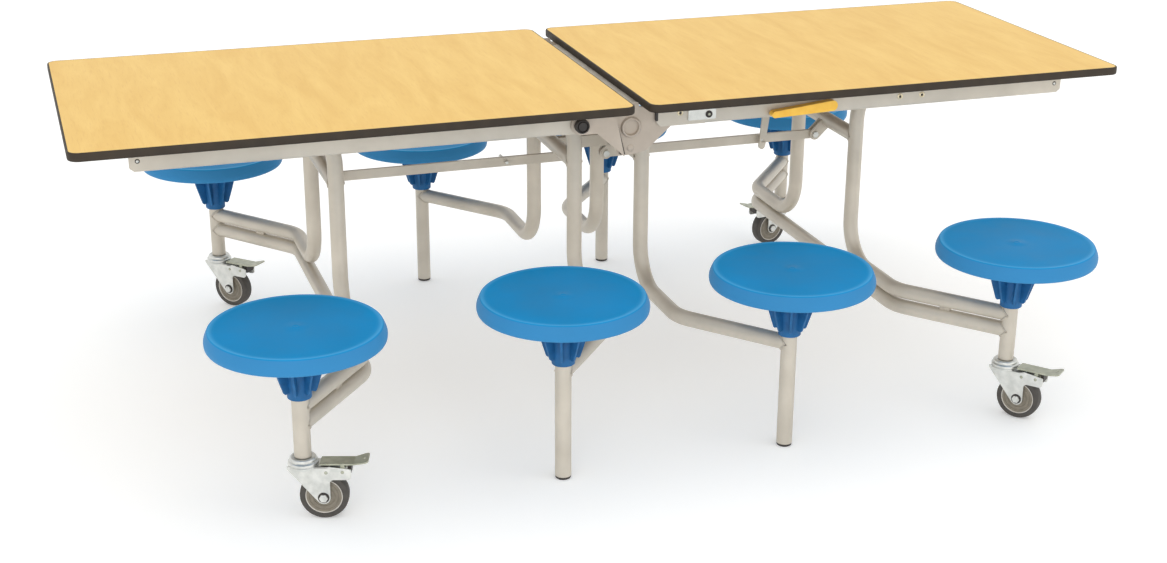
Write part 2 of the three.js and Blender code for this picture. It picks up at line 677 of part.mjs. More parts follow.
// A moulded seat at the origin's axis: a dished shell with a hub, open below, and gusset ribs.
function seat() {
  const top = SEAT_HEIGHT;
  const edgeFlat = SEAT_RADIUS - SEAT_EDGE_RADIUS;
  const inner = SEAT_RADIUS - SEAT_WALL;
  const bore = clearingRadius(TUBE_RADIUS);
  const hub = bore + HUB_WALL;
  const edge = [0, 45, 90].map((turn) =>
    point(
      edgeFlat + SEAT_EDGE_RADIUS * Math.sin(degrees(turn)),
      top - SEAT_EDGE_RADIUS * (1 - Math.cos(degrees(turn))),
    ),
  );
  const shell = turned(
    [
      point(0, top),
      ...edge,
      point(SEAT_RADIUS, top - SEAT_RIM_DEPTH),
      point(inner, top - SEAT_RIM_DEPTH),
      point(edgeFlat, top - SEAT_WALL),
      point(hub, top - SEAT_WALL),
      point(hub, HUB_FOOT_Z),
      point(bore, HUB_FOOT_Z),
      point(bore, top - HUB_ROOF),
      point(0, top - HUB_ROOF),
    ].reverse(),
    SEAT_SIDES,
  );
  const ribOutline = () =>
    new THREE.Shape()
      .moveTo(hub - HUB_WALL / 2, HUB_FOOT_Z + RIB_TOE_HEIGHT)
      .lineTo(RIB_TOE_RADIUS, HUB_FOOT_Z + RIB_TOE_HEIGHT)
      .lineTo(RIB_WAIST_RADIUS, top - RIB_WAIST_DEPTH)
      .lineTo(RIB_TOP_RADIUS, top - SEAT_WALL / 2)
      .lineTo(hub - HUB_WALL / 2, top - SEAT_WALL / 2);
  const ribs = Array.from({ length: RIB_COUNT }, (_, i) =>
    plate(ribOutline(), -RIB_THICKNESS / 2, RIB_THICKNESS / 2).rotate([0, 0, ((i + 0.5) * 360) / RIB_COUNT]),
  );
  return join(shell, ...ribs);
}

function glide() {
  return join(
    barZ(GLIDE_RADIUS, 0, GLIDE_HEIGHT, 0, 0),
    barZ(GLIDE_STEM_RADIUS, 0, GLIDE_HEIGHT + GLIDE_STEM_LENGTH, 0, 0),
  );
}

// Latch

// The shaft with its hook: one weldment that turns in the rail and in a bracket.
function latchHook() {
  const shaftEnd = HANDLE_BACK_Y - LATCH_HANDLE_WIDTH + LATCH_HANDLE_STANDOFF;
  const back = LATCH_PLATE_Y - LATCH_PLATE;
  const shaft = barY(LATCH_SHAFT_RADIUS, shaftEnd, LATCH_PLATE_Y, LATCH_SHAFT_X, PIVOT_Z, PIN_SIDES);
  const notch = point(LATCH_NOTCH_X, LINK_Z);
  const reach = notch.clone().sub(point(LATCH_SHAFT_X, PIVOT_Z));
  const tip = notch.clone().addScaledVector(reach.normalize(), LATCH_TIP_LENGTH);
  const arm = strap(point(LATCH_SHAFT_X, PIVOT_Z), tip, LATCH_ARM_RADIUS, LATCH_TIP_RADIUS);
  const notchRadius = CATCH_PIN_RADIUS + RUNNING_GAP;
  const mouth = point(LATCH_NOTCH_X + 2 * LATCH_ARM_RADIUS, LINK_Z);
  const slot = plate(strap(notch, mouth, notchRadius), back - CUT_OVERSHOOT, LATCH_PLATE_Y + CUT_OVERSHOOT);
  return join(shaft, cut(plate(arm, back, LATCH_PLATE_Y), slot));
}

// A tapered grip on the outer end of the shaft, pointing to the middle of the table.
function latchHandle() {
  const tilt = degrees(LATCH_HANDLE_TILT);
  const boss = point(LATCH_SHAFT_X, PIVOT_Z);
  const tip = boss.clone().sub(point(Math.cos(tilt), Math.sin(tilt)).multiplyScalar(LATCH_HANDLE_LENGTH));
  const outline = strap(
    boss,
    tip,
    LATCH_HANDLE_BOSS_RADIUS - LATCH_HANDLE_EDGE,
    LATCH_HANDLE_TIP_RADIUS - LATCH_HANDLE_EDGE,
  );
  const grip = new THREE.ExtrudeGeometry(outline, {
    depth: LATCH_HANDLE_WIDTH - 2 * LATCH_HANDLE_EDGE,
    bevelThickness: LATCH_HANDLE_EDGE,
    bevelSize: LATCH_HANDLE_EDGE,
    bevelSegments: 1,
    curveSegments: ARC_SEGMENTS,
  });
  grip.rotateX(Math.PI / 2).translate(0, HANDLE_BACK_Y - LATCH_HANDLE_EDGE, 0);
  const boreEnd = HANDLE_BACK_Y - LATCH_HANDLE_WIDTH + LATCH_HANDLE_STANDOFF - WELD_GAP;
  const boreStart = HANDLE_BACK_Y + CUT_OVERSHOOT;
  const bore = barY(LATCH_SHAFT_RADIUS + WELD_GAP, boreEnd, boreStart, LATCH_SHAFT_X, PIVOT_Z, PIN_SIDES);
  return cut(solid(grip), bore);
}

// A bracket under the right leaf that carries the inner end of the latch shaft.
function latchBracket() {
  const top = LEAF_BOTTOM_Z - WELD_GAP;
  const halfLength = LATCH_BRACKET_LENGTH / 2;
  const end = LATCH_BRACKET_Y + BRACKET_PLATE;
  const lug = plate(
    strap(point(LATCH_SHAFT_X, PIVOT_Z), point(LATCH_SHAFT_X, top - BRACKET_EYE_RADIUS), BRACKET_EYE_RADIUS),
    LATCH_BRACKET_Y,
    end,
  );
  const foot = block(
    LATCH_SHAFT_X - halfLength,
    LATCH_SHAFT_X + halfLength,
    end - LATCH_BRACKET_FOOT,
    end,
    top - RAIL_WALL,
    top,
  );
  const holeStart = LATCH_BRACKET_Y - CUT_OVERSHOOT;
  const holeEnd = end + CUT_OVERSHOOT;
  const hole = barY(LATCH_SHAFT_RADIUS + RUNNING_GAP, holeStart, holeEnd, LATCH_SHAFT_X, PIVOT_Z, PIN_SIDES);
  return cut(join(lug, foot), hole);
}

// Casters, drawn trailing along +X with the post on the Z axis

// A cheek's outline: from the crown down to the axle and out along the brake arm.
function cheekOutline() {
  const eye = FORK_AXLE_EYE_RADIUS;
  const tailX = CASTER_TRAIL + FORK_TAIL_LENGTH;
  const throatX = CASTER_TRAIL + FORK_THROAT;
  return new THREE.Shape()
    .moveTo(-COLLAR_RADIUS, FORK_CROWN_HEIGHT)
    .lineTo(-COLLAR_RADIUS, FORK_CROWN_HEIGHT - FORK_TAIL_SLOPE)
    .absarc(CASTER_TRAIL, WHEEL_RADIUS, eye, degrees(225), degrees(360))
    .lineTo(throatX, FORK_TAIL_BOTTOM - eye / 2)
    .lineTo(throatX + eye / 2, FORK_TAIL_BOTTOM)
    .lineTo(tailX - eye / 2, FORK_TAIL_BOTTOM)
    .lineTo(tailX, FORK_TAIL_BOTTOM + eye / 2)
    .lineTo(tailX, FORK_CROWN_HEIGHT - FORK_TAIL_SLOPE)
    .lineTo(CASTER_TRAIL + eye, FORK_CROWN_HEIGHT);
}

function casterFork() {
  const pedalX = CASTER_TRAIL + PEDAL_PIVOT_OUT;
  const collar = turned(
    [
      point(0, FORK_CROWN_HEIGHT - FORK_CROWN_PLATE),
      point(COLLAR_RADIUS, FORK_CROWN_HEIGHT - FORK_CROWN_PLATE),
      point(COLLAR_RADIUS, FORK_CROWN_HEIGHT + COLLAR_RISE),
      point(COLLAR_RADIUS - COLLAR_STEP, FORK_CROWN_HEIGHT + COLLAR_RISE),
      point(COLLAR_RADIUS - 2 * COLLAR_STEP, CASTER_HEIGHT - RUNNING_GAP),
      point(0, CASTER_HEIGHT - RUNNING_GAP),
    ],
    COLLAR_SIDES,
  );
  const crown = block(
    -COLLAR_RADIUS / 2,
    CASTER_TRAIL + FORK_AXLE_EYE_RADIUS,
    -FORK_OUTER_Y,
    FORK_OUTER_Y,
    FORK_CROWN_HEIGHT - FORK_CROWN_PLATE,
    FORK_CROWN_HEIGHT,
  );
  const stemTop = CASTER_HEIGHT + CASTER_STEM_LENGTH;
  const axleEnd = FORK_OUTER_Y + AXLE_HEAD_LENGTH;
  const holeRadius = PEDAL_PIN_RADIUS + RUNNING_GAP;
  const pedalHole = barY(holeRadius, -axleEnd, axleEnd, pedalX, PEDAL_PIVOT_HEIGHT, PIN_SIDES);
  const body = join(
    collar,
    crown,
    barZ(CASTER_STEM_RADIUS, FORK_CROWN_HEIGHT, stemTop, 0, 0),
    plate(cheekOutline(), -FORK_OUTER_Y, -FORK_INNER_Y),
    plate(cheekOutline(), FORK_INNER_Y, FORK_OUTER_Y),
    barY(AXLE_RADIUS, -FORK_OUTER_Y, FORK_OUTER_Y, CASTER_TRAIL, WHEEL_RADIUS, PIN_SIDES),
    barY(AXLE_HEAD_RADIUS, -axleEnd, -FORK_OUTER_Y, CASTER_TRAIL, WHEEL_RADIUS, HEX_SIDES),
    barY(AXLE_HEAD_RADIUS, FORK_OUTER_Y, axleEnd, CASTER_TRAIL, WHEEL_RADIUS, HEX_SIDES),
  );
  return cut(body, pedalHole);
}

// A wheel whose tyre is bonded to its core, turning on the fork's axle.
function casterWheel() {
  const half = WHEEL_WIDTH / 2;
  const bore = AXLE_RADIUS + RUNNING_GAP;
  const tyreHalf = half - TYRE_INSET;
  const core = WHEEL_RADIUS - TYRE_DEPTH;
  const face = half - WHEEL_FACE_RECESS;
  const shoulder = TYRE_DEPTH / 3;
  const profile = [
    point(bore, -half),
    point(WHEEL_HUB_RADIUS, -half),
    point(WHEEL_HUB_RADIUS, -face),
    point(core, -face),
    point(WHEEL_RADIUS - shoulder, -tyreHalf),
    point(WHEEL_RADIUS, shoulder - tyreHalf),
    point(WHEEL_RADIUS, tyreHalf - shoulder),
    point(WHEEL_RADIUS - shoulder, tyreHalf),
    point(core, face),
    point(WHEEL_HUB_RADIUS, face),
    point(WHEEL_HUB_RADIUS, half),
    point(bore, half),
    point(bore, -half),
  ];
  return solid(new THREE.LatheGeometry(profile, WHEEL_SIDES).translate(CASTER_TRAIL, 0, WHEEL_RADIUS));
}

// The brake pedal: a plate with a flared tip, two ears on a pin and the brake shoe.
function brakePedal() {
  const pinX = CASTER_TRAIL + PEDAL_PIVOT_OUT;
  const bottom = FORK_CROWN_HEIGHT + PEDAL_LIFT;
  const startX = COLLAR_RADIUS + PEDAL_COLLAR_GAP;
  const bendX = CASTER_TRAIL + PEDAL_BEND_OUT;
  const tipX = CASTER_TRAIL + PEDAL_TIP_OUT;
  const side = new THREE.Shape()
    .moveTo(startX, bottom)
    .lineTo(bendX, bottom)
    .lineTo(tipX, bottom + PEDAL_TIP_RISE)
    .lineTo(tipX, bottom + PEDAL_TIP_RISE + PEDAL_THICKNESS)
    .lineTo(bendX, bottom + PEDAL_THICKNESS)
    .lineTo(startX, bottom + PEDAL_THICKNESS);
  const fullWidth = PEDAL_WIDTH / 2 + PEDAL_TIP_FLARE / 2;
  const plan = new THREE.Shape()
    .moveTo(startX, -PEDAL_WIDTH / 2)
    .lineTo(bendX, -PEDAL_WIDTH / 2)
    .lineTo(tipX - PEDAL_TIP_FLARE, -fullWidth)
    .absarc(tipX - PEDAL_TIP_FLARE, -fullWidth + PEDAL_TIP_FLARE, PEDAL_TIP_FLARE, -Math.PI / 2, 0)
    .absarc(tipX - PEDAL_TIP_FLARE, fullWidth - PEDAL_TIP_FLARE, PEDAL_TIP_FLARE, 0, Math.PI / 2)
    .lineTo(bendX, PEDAL_WIDTH / 2)
    .lineTo(startX, PEDAL_WIDTH / 2);
  const stamp = new THREE.ExtrudeGeometry(plan, {
    depth: CASTER_HEIGHT,
    bevelEnabled: false,
    curveSegments: ARC_SEGMENTS,
  });
  const tread = plate(side, -fullWidth, fullWidth).intersect(solid(stamp.translate(0, 0, WHEEL_RADIUS)));
  const earOuter = FORK_INNER_Y - RUNNING_GAP;
  const ear = (startY) =>
    plate(
      strap(point(pinX, PEDAL_PIVOT_HEIGHT), point(pinX, bottom), PEDAL_PIN_RADIUS + PEDAL_EAR, PEDAL_EAR),
      startY,
      startY + PEDAL_EAR,
    );
  const shoeEndX = CASTER_TRAIL + FORK_TAIL_LENGTH;
  const shoe = block(
    shoeEndX - SHOE_LENGTH,
    shoeEndX,
    -SHOE_WIDTH / 2,
    SHOE_WIDTH / 2,
    bottom - SHOE_HEIGHT,
    bottom + JOIN_OVERLAP,
  );
  return join(
    tread,
    ear(-earOuter),
    ear(earOuter - PEDAL_EAR),
    barY(PEDAL_PIN_RADIUS, -FORK_OUTER_Y, FORK_OUTER_Y, pinX, PEDAL_PIVOT_HEIGHT, PIN_SIDES),
    shoe,
  );
}

// Assembly

const table = new THREE.Group();

function addPiece(parent, name, body, material) {
  const mesh = new THREE.Mesh(surfaceOf(body), material);
  mesh.name = name;
  parent.add(mesh);
  return mesh;
}

// Pieces are drawn for the right front corner, and a mirrored group makes each other corner.
const SIDES = { left: -1, right: 1 };
const ENDS = { front: 1, rear: -1 };

function cornerGroup(side, end) {
  const group = new THREE.Group();
  group.scale.set(SIDES[side], ENDS[end], 1);
  table.add(group);
  return group;
}

function addStool(name, body, pivotX, parent) {
  const mesh = addPiece(parent, name, body, SEAT_PLASTIC);
  mesh.position.set(pivotX - LEG_SETBACK + POST_REACH, -POST_Y, 0);
}

function addCaster(corner, side, end, pieces) {
  const caster = new THREE.Group();
  const postX = PIVOT_OUTER_X - LEG_SETBACK + POST_REACH;
  caster.position.set(SIDES[side] * postX, -ENDS[end] * POST_Y, 0);
  caster.rotation.z = degrees(CASTER_TURN[corner]);
  table.add(caster);
  addPiece(caster, `${corner}_caster_fork`, pieces.fork, ZINC);
  addPiece(caster, `${corner}_caster_wheel`, pieces.wheel, GREY_RUBBER);
  addPiece(caster, `${corner}_brake_pedal`, pieces.pedal, ZINC);
}

const shared = {
  seat: seat(),
  innerLeg: innerLeg(),
  outerLeg: outerLeg(),
  glide: glide(),
  caster: { fork: casterFork(), wheel: casterWheel(), pedal: brakePedal() },
};

for (const side of Object.keys(SIDES)) {
  const half = cornerGroup(side, "front");
  addPiece(half, `${side}_board`, board(), MAPLE_LAMINATE);
  addPiece(half, `${side}_edge_band`, edgeBand(), EDGE_MOULDING);
  addPiece(half, `${side}_outer_pivot_tube`, outerPivotTube(), PAINTED_STEEL);
  addPiece(half, `${side}_outer_cross_tube`, outerCrossTube(), PAINTED_STEEL);
  addPiece(half, `${side}_stretcher`, stretcher(), PAINTED_STEEL);
  for (const end of Object.keys(ENDS)) {
    const corner = `${side}_${end}`;
    const group = cornerGroup(side, end);
    const hinge = side === "left" ? leftHingePlate() : rightHingePlate();
    const reach = side === "left" ? LEFT_RAIL_REACH : RIGHT_RAIL_REACH;
    const railBody = corner === "right_front" ? latchRail() : rail(reach);
    addPiece(group, `${corner}_rail`, railBody, PAINTED_STEEL);
    addPiece(group, `${corner}_hinge_plate`, hinge, PAINTED_STEEL);
    addPiece(group, `${corner}_inner_leg`, shared.innerLeg, PAINTED_STEEL);
    addPiece(group, `${corner}_outer_leg`, shared.outerLeg, PAINTED_STEEL);
    addStool(`${corner}_inner_seat`, shared.seat, PIVOT_INNER_X, group);
    addStool(`${corner}_outer_seat`, shared.seat, PIVOT_OUTER_X, group);
    const foot = addPiece(group, `${corner}_glide`, shared.glide, BLACK_PLASTIC);
    foot.position.set(PIVOT_INNER_X - LEG_SETBACK + POST_REACH, -POST_Y, 0);
    addCaster(corner, side, end, shared.caster);
  }
}

const leftHalf = cornerGroup("left", "front");
const rightHalf = cornerGroup("right", "front");
addPiece(leftHalf, "left_inner_pivot_tube", leftInnerPivotTube(), PAINTED_STEEL);
addPiece(rightHalf, "right_inner_pivot_tube", rightInnerPivotTube(), PAINTED_STEEL);
addPiece(leftHalf, "left_link", link(LEFT_CATCH_X), PAINTED_STEEL);
addPiece(rightHalf, "right_link", link(RIGHT_CATCH_X), PAINTED_STEEL);
addPiece(table, "link_carrier", linkCarrier(), PAINTED_STEEL);
addPiece(leftHalf, "left_pivot_cap", pivotCap(), BLACK_PLASTIC);
addPiece(rightHalf, "lock_plate", lockPlate(), ZINC);
addPiece(rightHalf, "latch_hook", latchHook(), PAINTED_STEEL);
addPiece(rightHalf, "latch_handle", latchHandle(), YELLOW_PLASTIC);
addPiece(rightHalf, "latch_bracket", latchBracket(), PAINTED_STEEL);

export default table;
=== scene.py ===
# %% [markdown]
# # A folding canteen table with fixed stools
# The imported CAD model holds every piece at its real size, but as plain faceted solids. This lesson
# dresses it: each piece is made again with round tubes, soft edges and small fixings, in the same
# place, and each gets the finish that the real one has. Sizes are in millimetres until the last
# step of a piece, where they become metres. X runs along the table and the front is at -Y.

# %% Load the frame
import json
import math
from collections import namedtuple

import bmesh
import bpy
from mathutils import Matrix, Vector


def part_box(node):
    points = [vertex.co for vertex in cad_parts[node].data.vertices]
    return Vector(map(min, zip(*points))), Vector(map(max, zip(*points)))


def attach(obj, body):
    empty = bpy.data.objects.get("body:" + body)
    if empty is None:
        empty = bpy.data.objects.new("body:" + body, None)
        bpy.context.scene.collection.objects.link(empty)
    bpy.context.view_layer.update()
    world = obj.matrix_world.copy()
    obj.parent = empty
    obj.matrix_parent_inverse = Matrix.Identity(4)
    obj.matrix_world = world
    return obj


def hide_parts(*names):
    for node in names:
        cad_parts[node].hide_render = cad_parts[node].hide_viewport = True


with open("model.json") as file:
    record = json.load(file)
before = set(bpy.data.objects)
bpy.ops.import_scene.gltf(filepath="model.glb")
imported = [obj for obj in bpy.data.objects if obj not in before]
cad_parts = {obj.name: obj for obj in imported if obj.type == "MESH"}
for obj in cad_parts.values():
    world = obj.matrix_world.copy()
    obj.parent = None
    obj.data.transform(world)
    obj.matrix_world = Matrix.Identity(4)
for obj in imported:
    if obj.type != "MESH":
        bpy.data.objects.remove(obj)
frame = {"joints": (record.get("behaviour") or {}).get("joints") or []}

MM = 0.001
# Signs that mirror a piece to the left side, or to the other end of the table's depth.
SIDES = {"left": -1, "right": 1}
ENDS = {"front": 1, "rear": -1}
CORNERS = [(side, end) for side in SIDES for end in ENDS]
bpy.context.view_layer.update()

# %% [markdown]
# The places of the moving pieces come from the frame's own joints, so the dressed pieces are built
# about the same pivot points. The leaf, the rail and the seat take their sizes from the boxes of their
# plain solids. What is left is the tube, its bends and its runs.

# %% Places from the frame
joint_at = {joint["name"]: Vector(joint["pos_m"]) / MM for joint in frame["joints"]}
inner_pivot = joint_at["right_top_fold"]
outer_pivot = joint_at["right_caster_frame_fold"]
link_pivot = joint_at["right_link_fold"]
latch_pivot = joint_at["latch_turn"]
outer_post = joint_at["right_front_swivel"]


def corners_of(node):
    """The lowest and highest corners of a plain solid, in millimetres."""
    return [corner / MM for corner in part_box(node)]


leaf_low, leaf_high = corners_of("right_edge_band")
LEAF_START, LEAF_END = leaf_low.x, leaf_high.x
LEAF_BOTTOM, LEAF_TOP = leaf_low.z, leaf_high.z
LEAF_HALF_DEPTH = leaf_high.y
rail_low, rail_high = corners_of("right_front_rail")
RAIL_FACE, FLANGE_EDGE = -rail_low.y, -rail_high.y
RAIL_BOTTOM, RAIL_TOP = rail_low.z, rail_high.z
RAIL_END = rail_high.x
seat_low, seat_high = corners_of("right_front_inner_seat")
HUB_FOOT, SEAT_TOP = seat_low.z, seat_high.z
SEAT_RADIUS = (seat_high.x - seat_low.x) / 2
print("leaf from", round(LEAF_START), "to", round(LEAF_END), "mm, top at", round(LEAF_TOP), "mm")

# %% The tube and its runs
TUBE_RADIUS = 17.5
LEG_SETBACK = 43
LEG_LEAN = math.radians(47)
LEG_Y = 160
FOOT_BEND = 95
ARM_CORNER_Y = 407
ARM_BEND = 90
HUB_TO_ARM = 3
ARM_TO_STRETCHER = 39
LINK_TO_CROSS_TUBE = 34
SEAT_TO_POST = 22.3
ARM_Z = HUB_FOOT - HUB_TO_ARM - TUBE_RADIUS
STRETCHER_Z = ARM_Z - ARM_TO_STRETCHER
CROSS_TUBE_Z = link_pivot.z + LINK_TO_CROSS_TUBE
INNER_LEG_X = inner_pivot.x - LEG_SETBACK
OUTER_LEG_X = outer_pivot.x - LEG_SETBACK
POST_REACH = outer_post.x - OUTER_LEG_X
POST_Y = -outer_post.y
POST_TOP = SEAT_TOP - SEAT_TO_POST
print("arms at", round(ARM_Z, 1), "mm, posts", round(POST_REACH), "mm out from their legs")

# %% [markdown]
# Shapes are lists of points and faces. A few makers are enough here: a turned shape for seats,
# wheels and collars, and a flat outline with a depth and softened rims for everything cut or folded
# from sheet. A mirrored copy has its faces turned over, so that they still point outwards.

# %% Shapes
Shape = namedtuple("Shape", "points faces")
FLIP_Y = Matrix.Diagonal((1, -1, 1, 1))
QUARTER_TURN = Matrix.Rotation(math.pi / 2, 4, "X")


def moved(shape, matrix):
    faces = shape.faces
    if matrix.to_3x3().determinant() < 0:
        faces = [tuple(reversed(face)) for face in faces]
    return Shape([matrix @ point for point in shape.points], faces)


def mirrored(shape, side, end="front"):
    return moved(shape, Matrix.Diagonal((SIDES[side], ENDS[end], 1, 1)))


def joined(*shapes):
    points, faces = [], []
    for shape in shapes:
        start = len(points)
        points += shape.points
        faces += [tuple(start + index for index in face) for face in shape.faces]
    return Shape(points, faces)


# %% Turned shapes
ON_AXIS = 1e-6


def turned(profile, steps=72):
    """A shape turned about Z from (radius, height) points, anticlockwise from the axis or closed."""
    rings, points, faces = [], [], []
    for radius, height in profile:
        if radius < ON_AXIS:
            rings.append([len(points)] * steps)
            points.append(Vector((0, 0, height)))
            continue
        rings.append(list(range(len(points), len(points) + steps)))
        for step in range(steps):
            angle = math.tau * step / steps
            points.append(Vector((radius * math.cos(angle), radius * math.sin(angle), height)))
    pairs = list(zip(rings, rings[1:]))
    if profile[0][0] > ON_AXIS:
        pairs.append((rings[-1], rings[0]))
    for low, high in pairs:
        for step in range(steps):
            after = (step + 1) % steps
            face = tuple(dict.fromkeys([low[step], low[after], high[after], high[step]]))
            if len(face) > 2:
                faces.append(face)
    return Shape(points, faces)


def along_y(shape, x, z, y=0):
    """A shape turned about Z is laid along -Y, so that its top faces the front."""
    return moved(shape, Matrix.Translation((x, y, z)) @ QUARTER_TURN)


def bar(radius, start_y, end_y, x, z, edge=0.8):
    """A round bar along Y with softened ends."""
    length = end_y - start_y
    profile = [(0, 0), (radius - edge, 0), (radius, edge)]
    profile += [(radius, length - edge), (radius - edge, length), (0, length)]
    return along_y(turned(profile, 32), x, z, end_y)


# %% Plates
SHARP_RIM = math.radians(40)


def extruded(outline, depth, edge=0.0, edge_steps=2):
    """A flat outline in XY, anticlockwise, given a depth along +Z, with its rims softened by edge."""
    mesh = bmesh.new()
    base = [mesh.verts.new((x, y, 0)) for x, y in outline]
    top = [mesh.verts.new((x, y, depth)) for x, y in outline]
    mesh.faces.new(list(reversed(base)))
    mesh.faces.new(top)
    for index, corner in enumerate(base):
        after = (index + 1) % len(base)
        mesh.faces.new((corner, base[after], top[after], top[index]))
    if edge:
        rims = [line for line in mesh.edges if line.calc_face_angle(0) > SHARP_RIM]
        rounding = {"offset": edge, "segments": edge_steps, "profile": 0.5, "affect": "EDGES"}
        bmesh.ops.bevel(mesh, geom=rims, clamp_overlap=True, **rounding)
    mesh.verts.index_update()
    points = [vert.co.copy() for vert in mesh.verts]
    faces = [tuple(vert.index for vert in face.verts) for face in mesh.faces]
    mesh.free()
    return Shape(points, faces)


def slab(outline, bottom, top):
    """A level plate between two heights."""
    return moved(extruded(outline, top - bottom), Matrix.Translation((0, 0, bottom)))


def plate(outline, start_y, end_y, edge=0.8, edge_steps=2):
    """A plate whose outline lies in XZ, standing between two places along Y."""
    upright = Matrix.Translation((0, end_y, 0)) @ QUARTER_TURN
    return moved(extruded(outline, end_y - start_y, edge, edge_steps), upright)


# %% Outlines
def arc(centre, radius, start, end, steps=12):
    """Points on a circle from one angle to another, in degrees."""
    angles = [math.radians(start + (end - start) * step / steps) for step in range(steps + 1)]
    return [(centre[0] + radius * math.cos(a), centre[1] + radius * math.sin(a)) for a in angles]


def strap(start, end, start_radius, end_radius=None, steps=14):
    """An outline with two round ends."""
    end_radius = start_radius if end_radius is None else end_radius
    along = math.degrees(math.atan2(end[1] - start[1], end[0] - start[0]))
    length = math.hypot(end[0] - start[0], end[1] - start[1])
    spread = math.degrees(math.acos((start_radius - end_radius) / length))
    first = arc(start, start_radius, along + spread, along - spread + 360, steps)
    return first + arc(end, end_radius, along - spread, along + spread, steps)


def rectangle(low, high):
    return [low, (high[0], low[1]), high, (low[0], high[1])]


def rounded_rectangle(low, high, radius, steps=10):
    inner = rectangle((low[0] + radius, low[1] + radius), (high[0] - radius, high[1] - radius))
    outline = []
    for quarter, corner in enumerate(inner[2:] + inner[:2]):
        outline += arc(corner, radius, 90 * quarter, 90 * quarter + 90, steps)
    return outline


# %% [markdown]
# Every piece ends the same way: its points become metres, doubles are merged, edges past an angle
# are marked sharp so that round faces shade smoothly, and it is told which body carries it and which
# plain solids it stands for, which are hidden.

# %% Finish a piece
SHARP_ANGLE = math.radians(38)
MERGE_DISTANCE = 1e-6
made = []


def in_scene(name, data):
    thing = bpy.data.objects.new(name, data)
    bpy.context.scene.collection.objects.link(thing)
    return thing


def mesh_of(shape, name):
    mesh = bpy.data.meshes.new(name)
    mesh.from_pydata([point * MM for point in shape.points], [], shape.faces)
    return mesh


def settle(thing, body, slot, *replaced):
    thing.data.shade_smooth()
    thing.data.set_sharp_from_angle(angle=SHARP_ANGLE)
    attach(thing, body)
    if replaced:
        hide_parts(*replaced)
    made.append(thing.name)


def piece(name, parts, body, slot, *replaced):
    """One object from (shape, material) pairs."""
    mesh = mesh_of(joined(*[shape for shape, _ in parts]), name)
    finishes = list(dict.fromkeys(material for _, material in parts))
    for material in finishes:
        mesh.materials.append(material)
    indices = [finishes.index(material) for shape, material in parts for _ in shape.faces]
    mesh.polygons.foreach_set("material_index", indices)
    working = bmesh.new()
    working.from_mesh(mesh)
    bmesh.ops.remove_doubles(working, verts=working.verts, dist=MERGE_DISTANCE)
    bmesh.ops.recalc_face_normals(working, faces=working.faces)
    working.to_mesh(mesh)
    working.free()
    settle(in_scene(name, mesh), body, slot, *replaced)


def tell(step):
    print(f"{step}: {len(made)} pieces so far")


# %% [markdown]
# One function adds a node with its settings, values and links. It serves the materials and the
# Geometry Nodes trees alike. A node given as a link stands for its first output.

# %% Node helper
def add(tree, kind, values=None, links=None, **settings):
    node = tree.nodes.new(kind)
    for key, value in settings.items():
        setattr(node, key, value)
    for key, value in (values or {}).items():
        node.inputs[key].default_value = value
    for key, source in (links or {}).items():
        socket = source.outputs[0] if isinstance(source, bpy.types.Node) else source
        tree.links.new(socket, node.inputs[key])
    return node


# %% [markdown]
# Most finishes here are two close shades, a gloss that wanders and a fine bump. Each of the three is
# a noise pattern on Object coordinates, so it stays in place on the piece and keeps its real size.

# %% Colours and scales
def linear(hex_colour):
    """An sRGB hex value as a linear colour."""
    channels = [int(hex_colour[i : i + 2], 16) / 255 for i in (1, 3, 5)]
    curve = [c / 12.92 if c <= 0.04045 else ((c + 0.055) / 1.055) ** 2.4 for c in channels]
    return (*curve, 1)


def per_metre(size_mm):
    """The scale of a pattern whose features are about this size."""
    return 1000 / size_mm


def limits(*values):
    """The four values of a Map Range node."""
    return dict(zip(("From Min", "From Max", "To Min", "To Max"), values))


# %% Colour, gloss and grain
def new_finish(name, **shader_values):
    """A material with its shader, and the Object coordinates that its patterns read."""
    material = bpy.data.materials.new(name)
    material.use_nodes = True
    tree = material.node_tree
    shader = tree.nodes["Principled BSDF"]
    for socket, value in shader_values.items():
        shader.inputs[socket].default_value = value
    return material, tree, shader, add(tree, "ShaderNodeTexCoord").outputs["Object"]


def mottled(tree, place, light, dark, size_mm, stops=(0.35, 0.68), **noise_values):
    """Colour that drifts between two shades over patches of a given size."""
    values = {"Scale": per_metre(size_mm), "Detail": 3, "Roughness": 0.55, **noise_values}
    noise = add(tree, "ShaderNodeTexNoise", values, {"Vector": place})
    ramp = add(tree, "ShaderNodeValToRGB", links={"Fac": noise})
    for element, stop, colour in zip(ramp.color_ramp.elements, stops, (dark, light)):
        element.position = stop
        element.color = linear(colour)
    return ramp.outputs["Color"]


def varied_gloss(tree, shader, place, low, high, size_mm):
    """Roughness that wanders between two values."""
    values = {"Scale": per_metre(size_mm), "Detail": 4}
    noise = add(tree, "ShaderNodeTexNoise", values, {"Vector": place})
    spread = add(tree, "ShaderNodeMapRange", limits(0.3, 0.7, low, high), {"Value": noise})
    tree.links.new(spread.outputs["Result"], shader.inputs["Roughness"])


def grained(tree, shader, place, size_mm, height_mm, strength=1.0):
    """A fine bump of a given grain size and height."""
    noise = add(tree, "ShaderNodeTexNoise", {"Scale": per_metre(size_mm), "Detail": 2}, {"Vector": place})
    bump = add(tree, "ShaderNodeBump", {"Strength": strength, "Distance": height_mm * MM}, {"Height": noise})
    tree.links.new(bump.outputs["Normal"], shader.inputs["Normal"])


def finish(name, light, dark, patch_mm, roughness, grain_mm, height_mm, **shader_values):
    material, tree, shader, place = new_finish(name, **shader_values)
    tree.links.new(mottled(tree, place, light, dark, patch_mm), shader.inputs["Base Color"])
    varied_gloss(tree, shader, place, *roughness, patch_mm / 2)
    grained(tree, shader, place, grain_mm, height_mm)
    return material


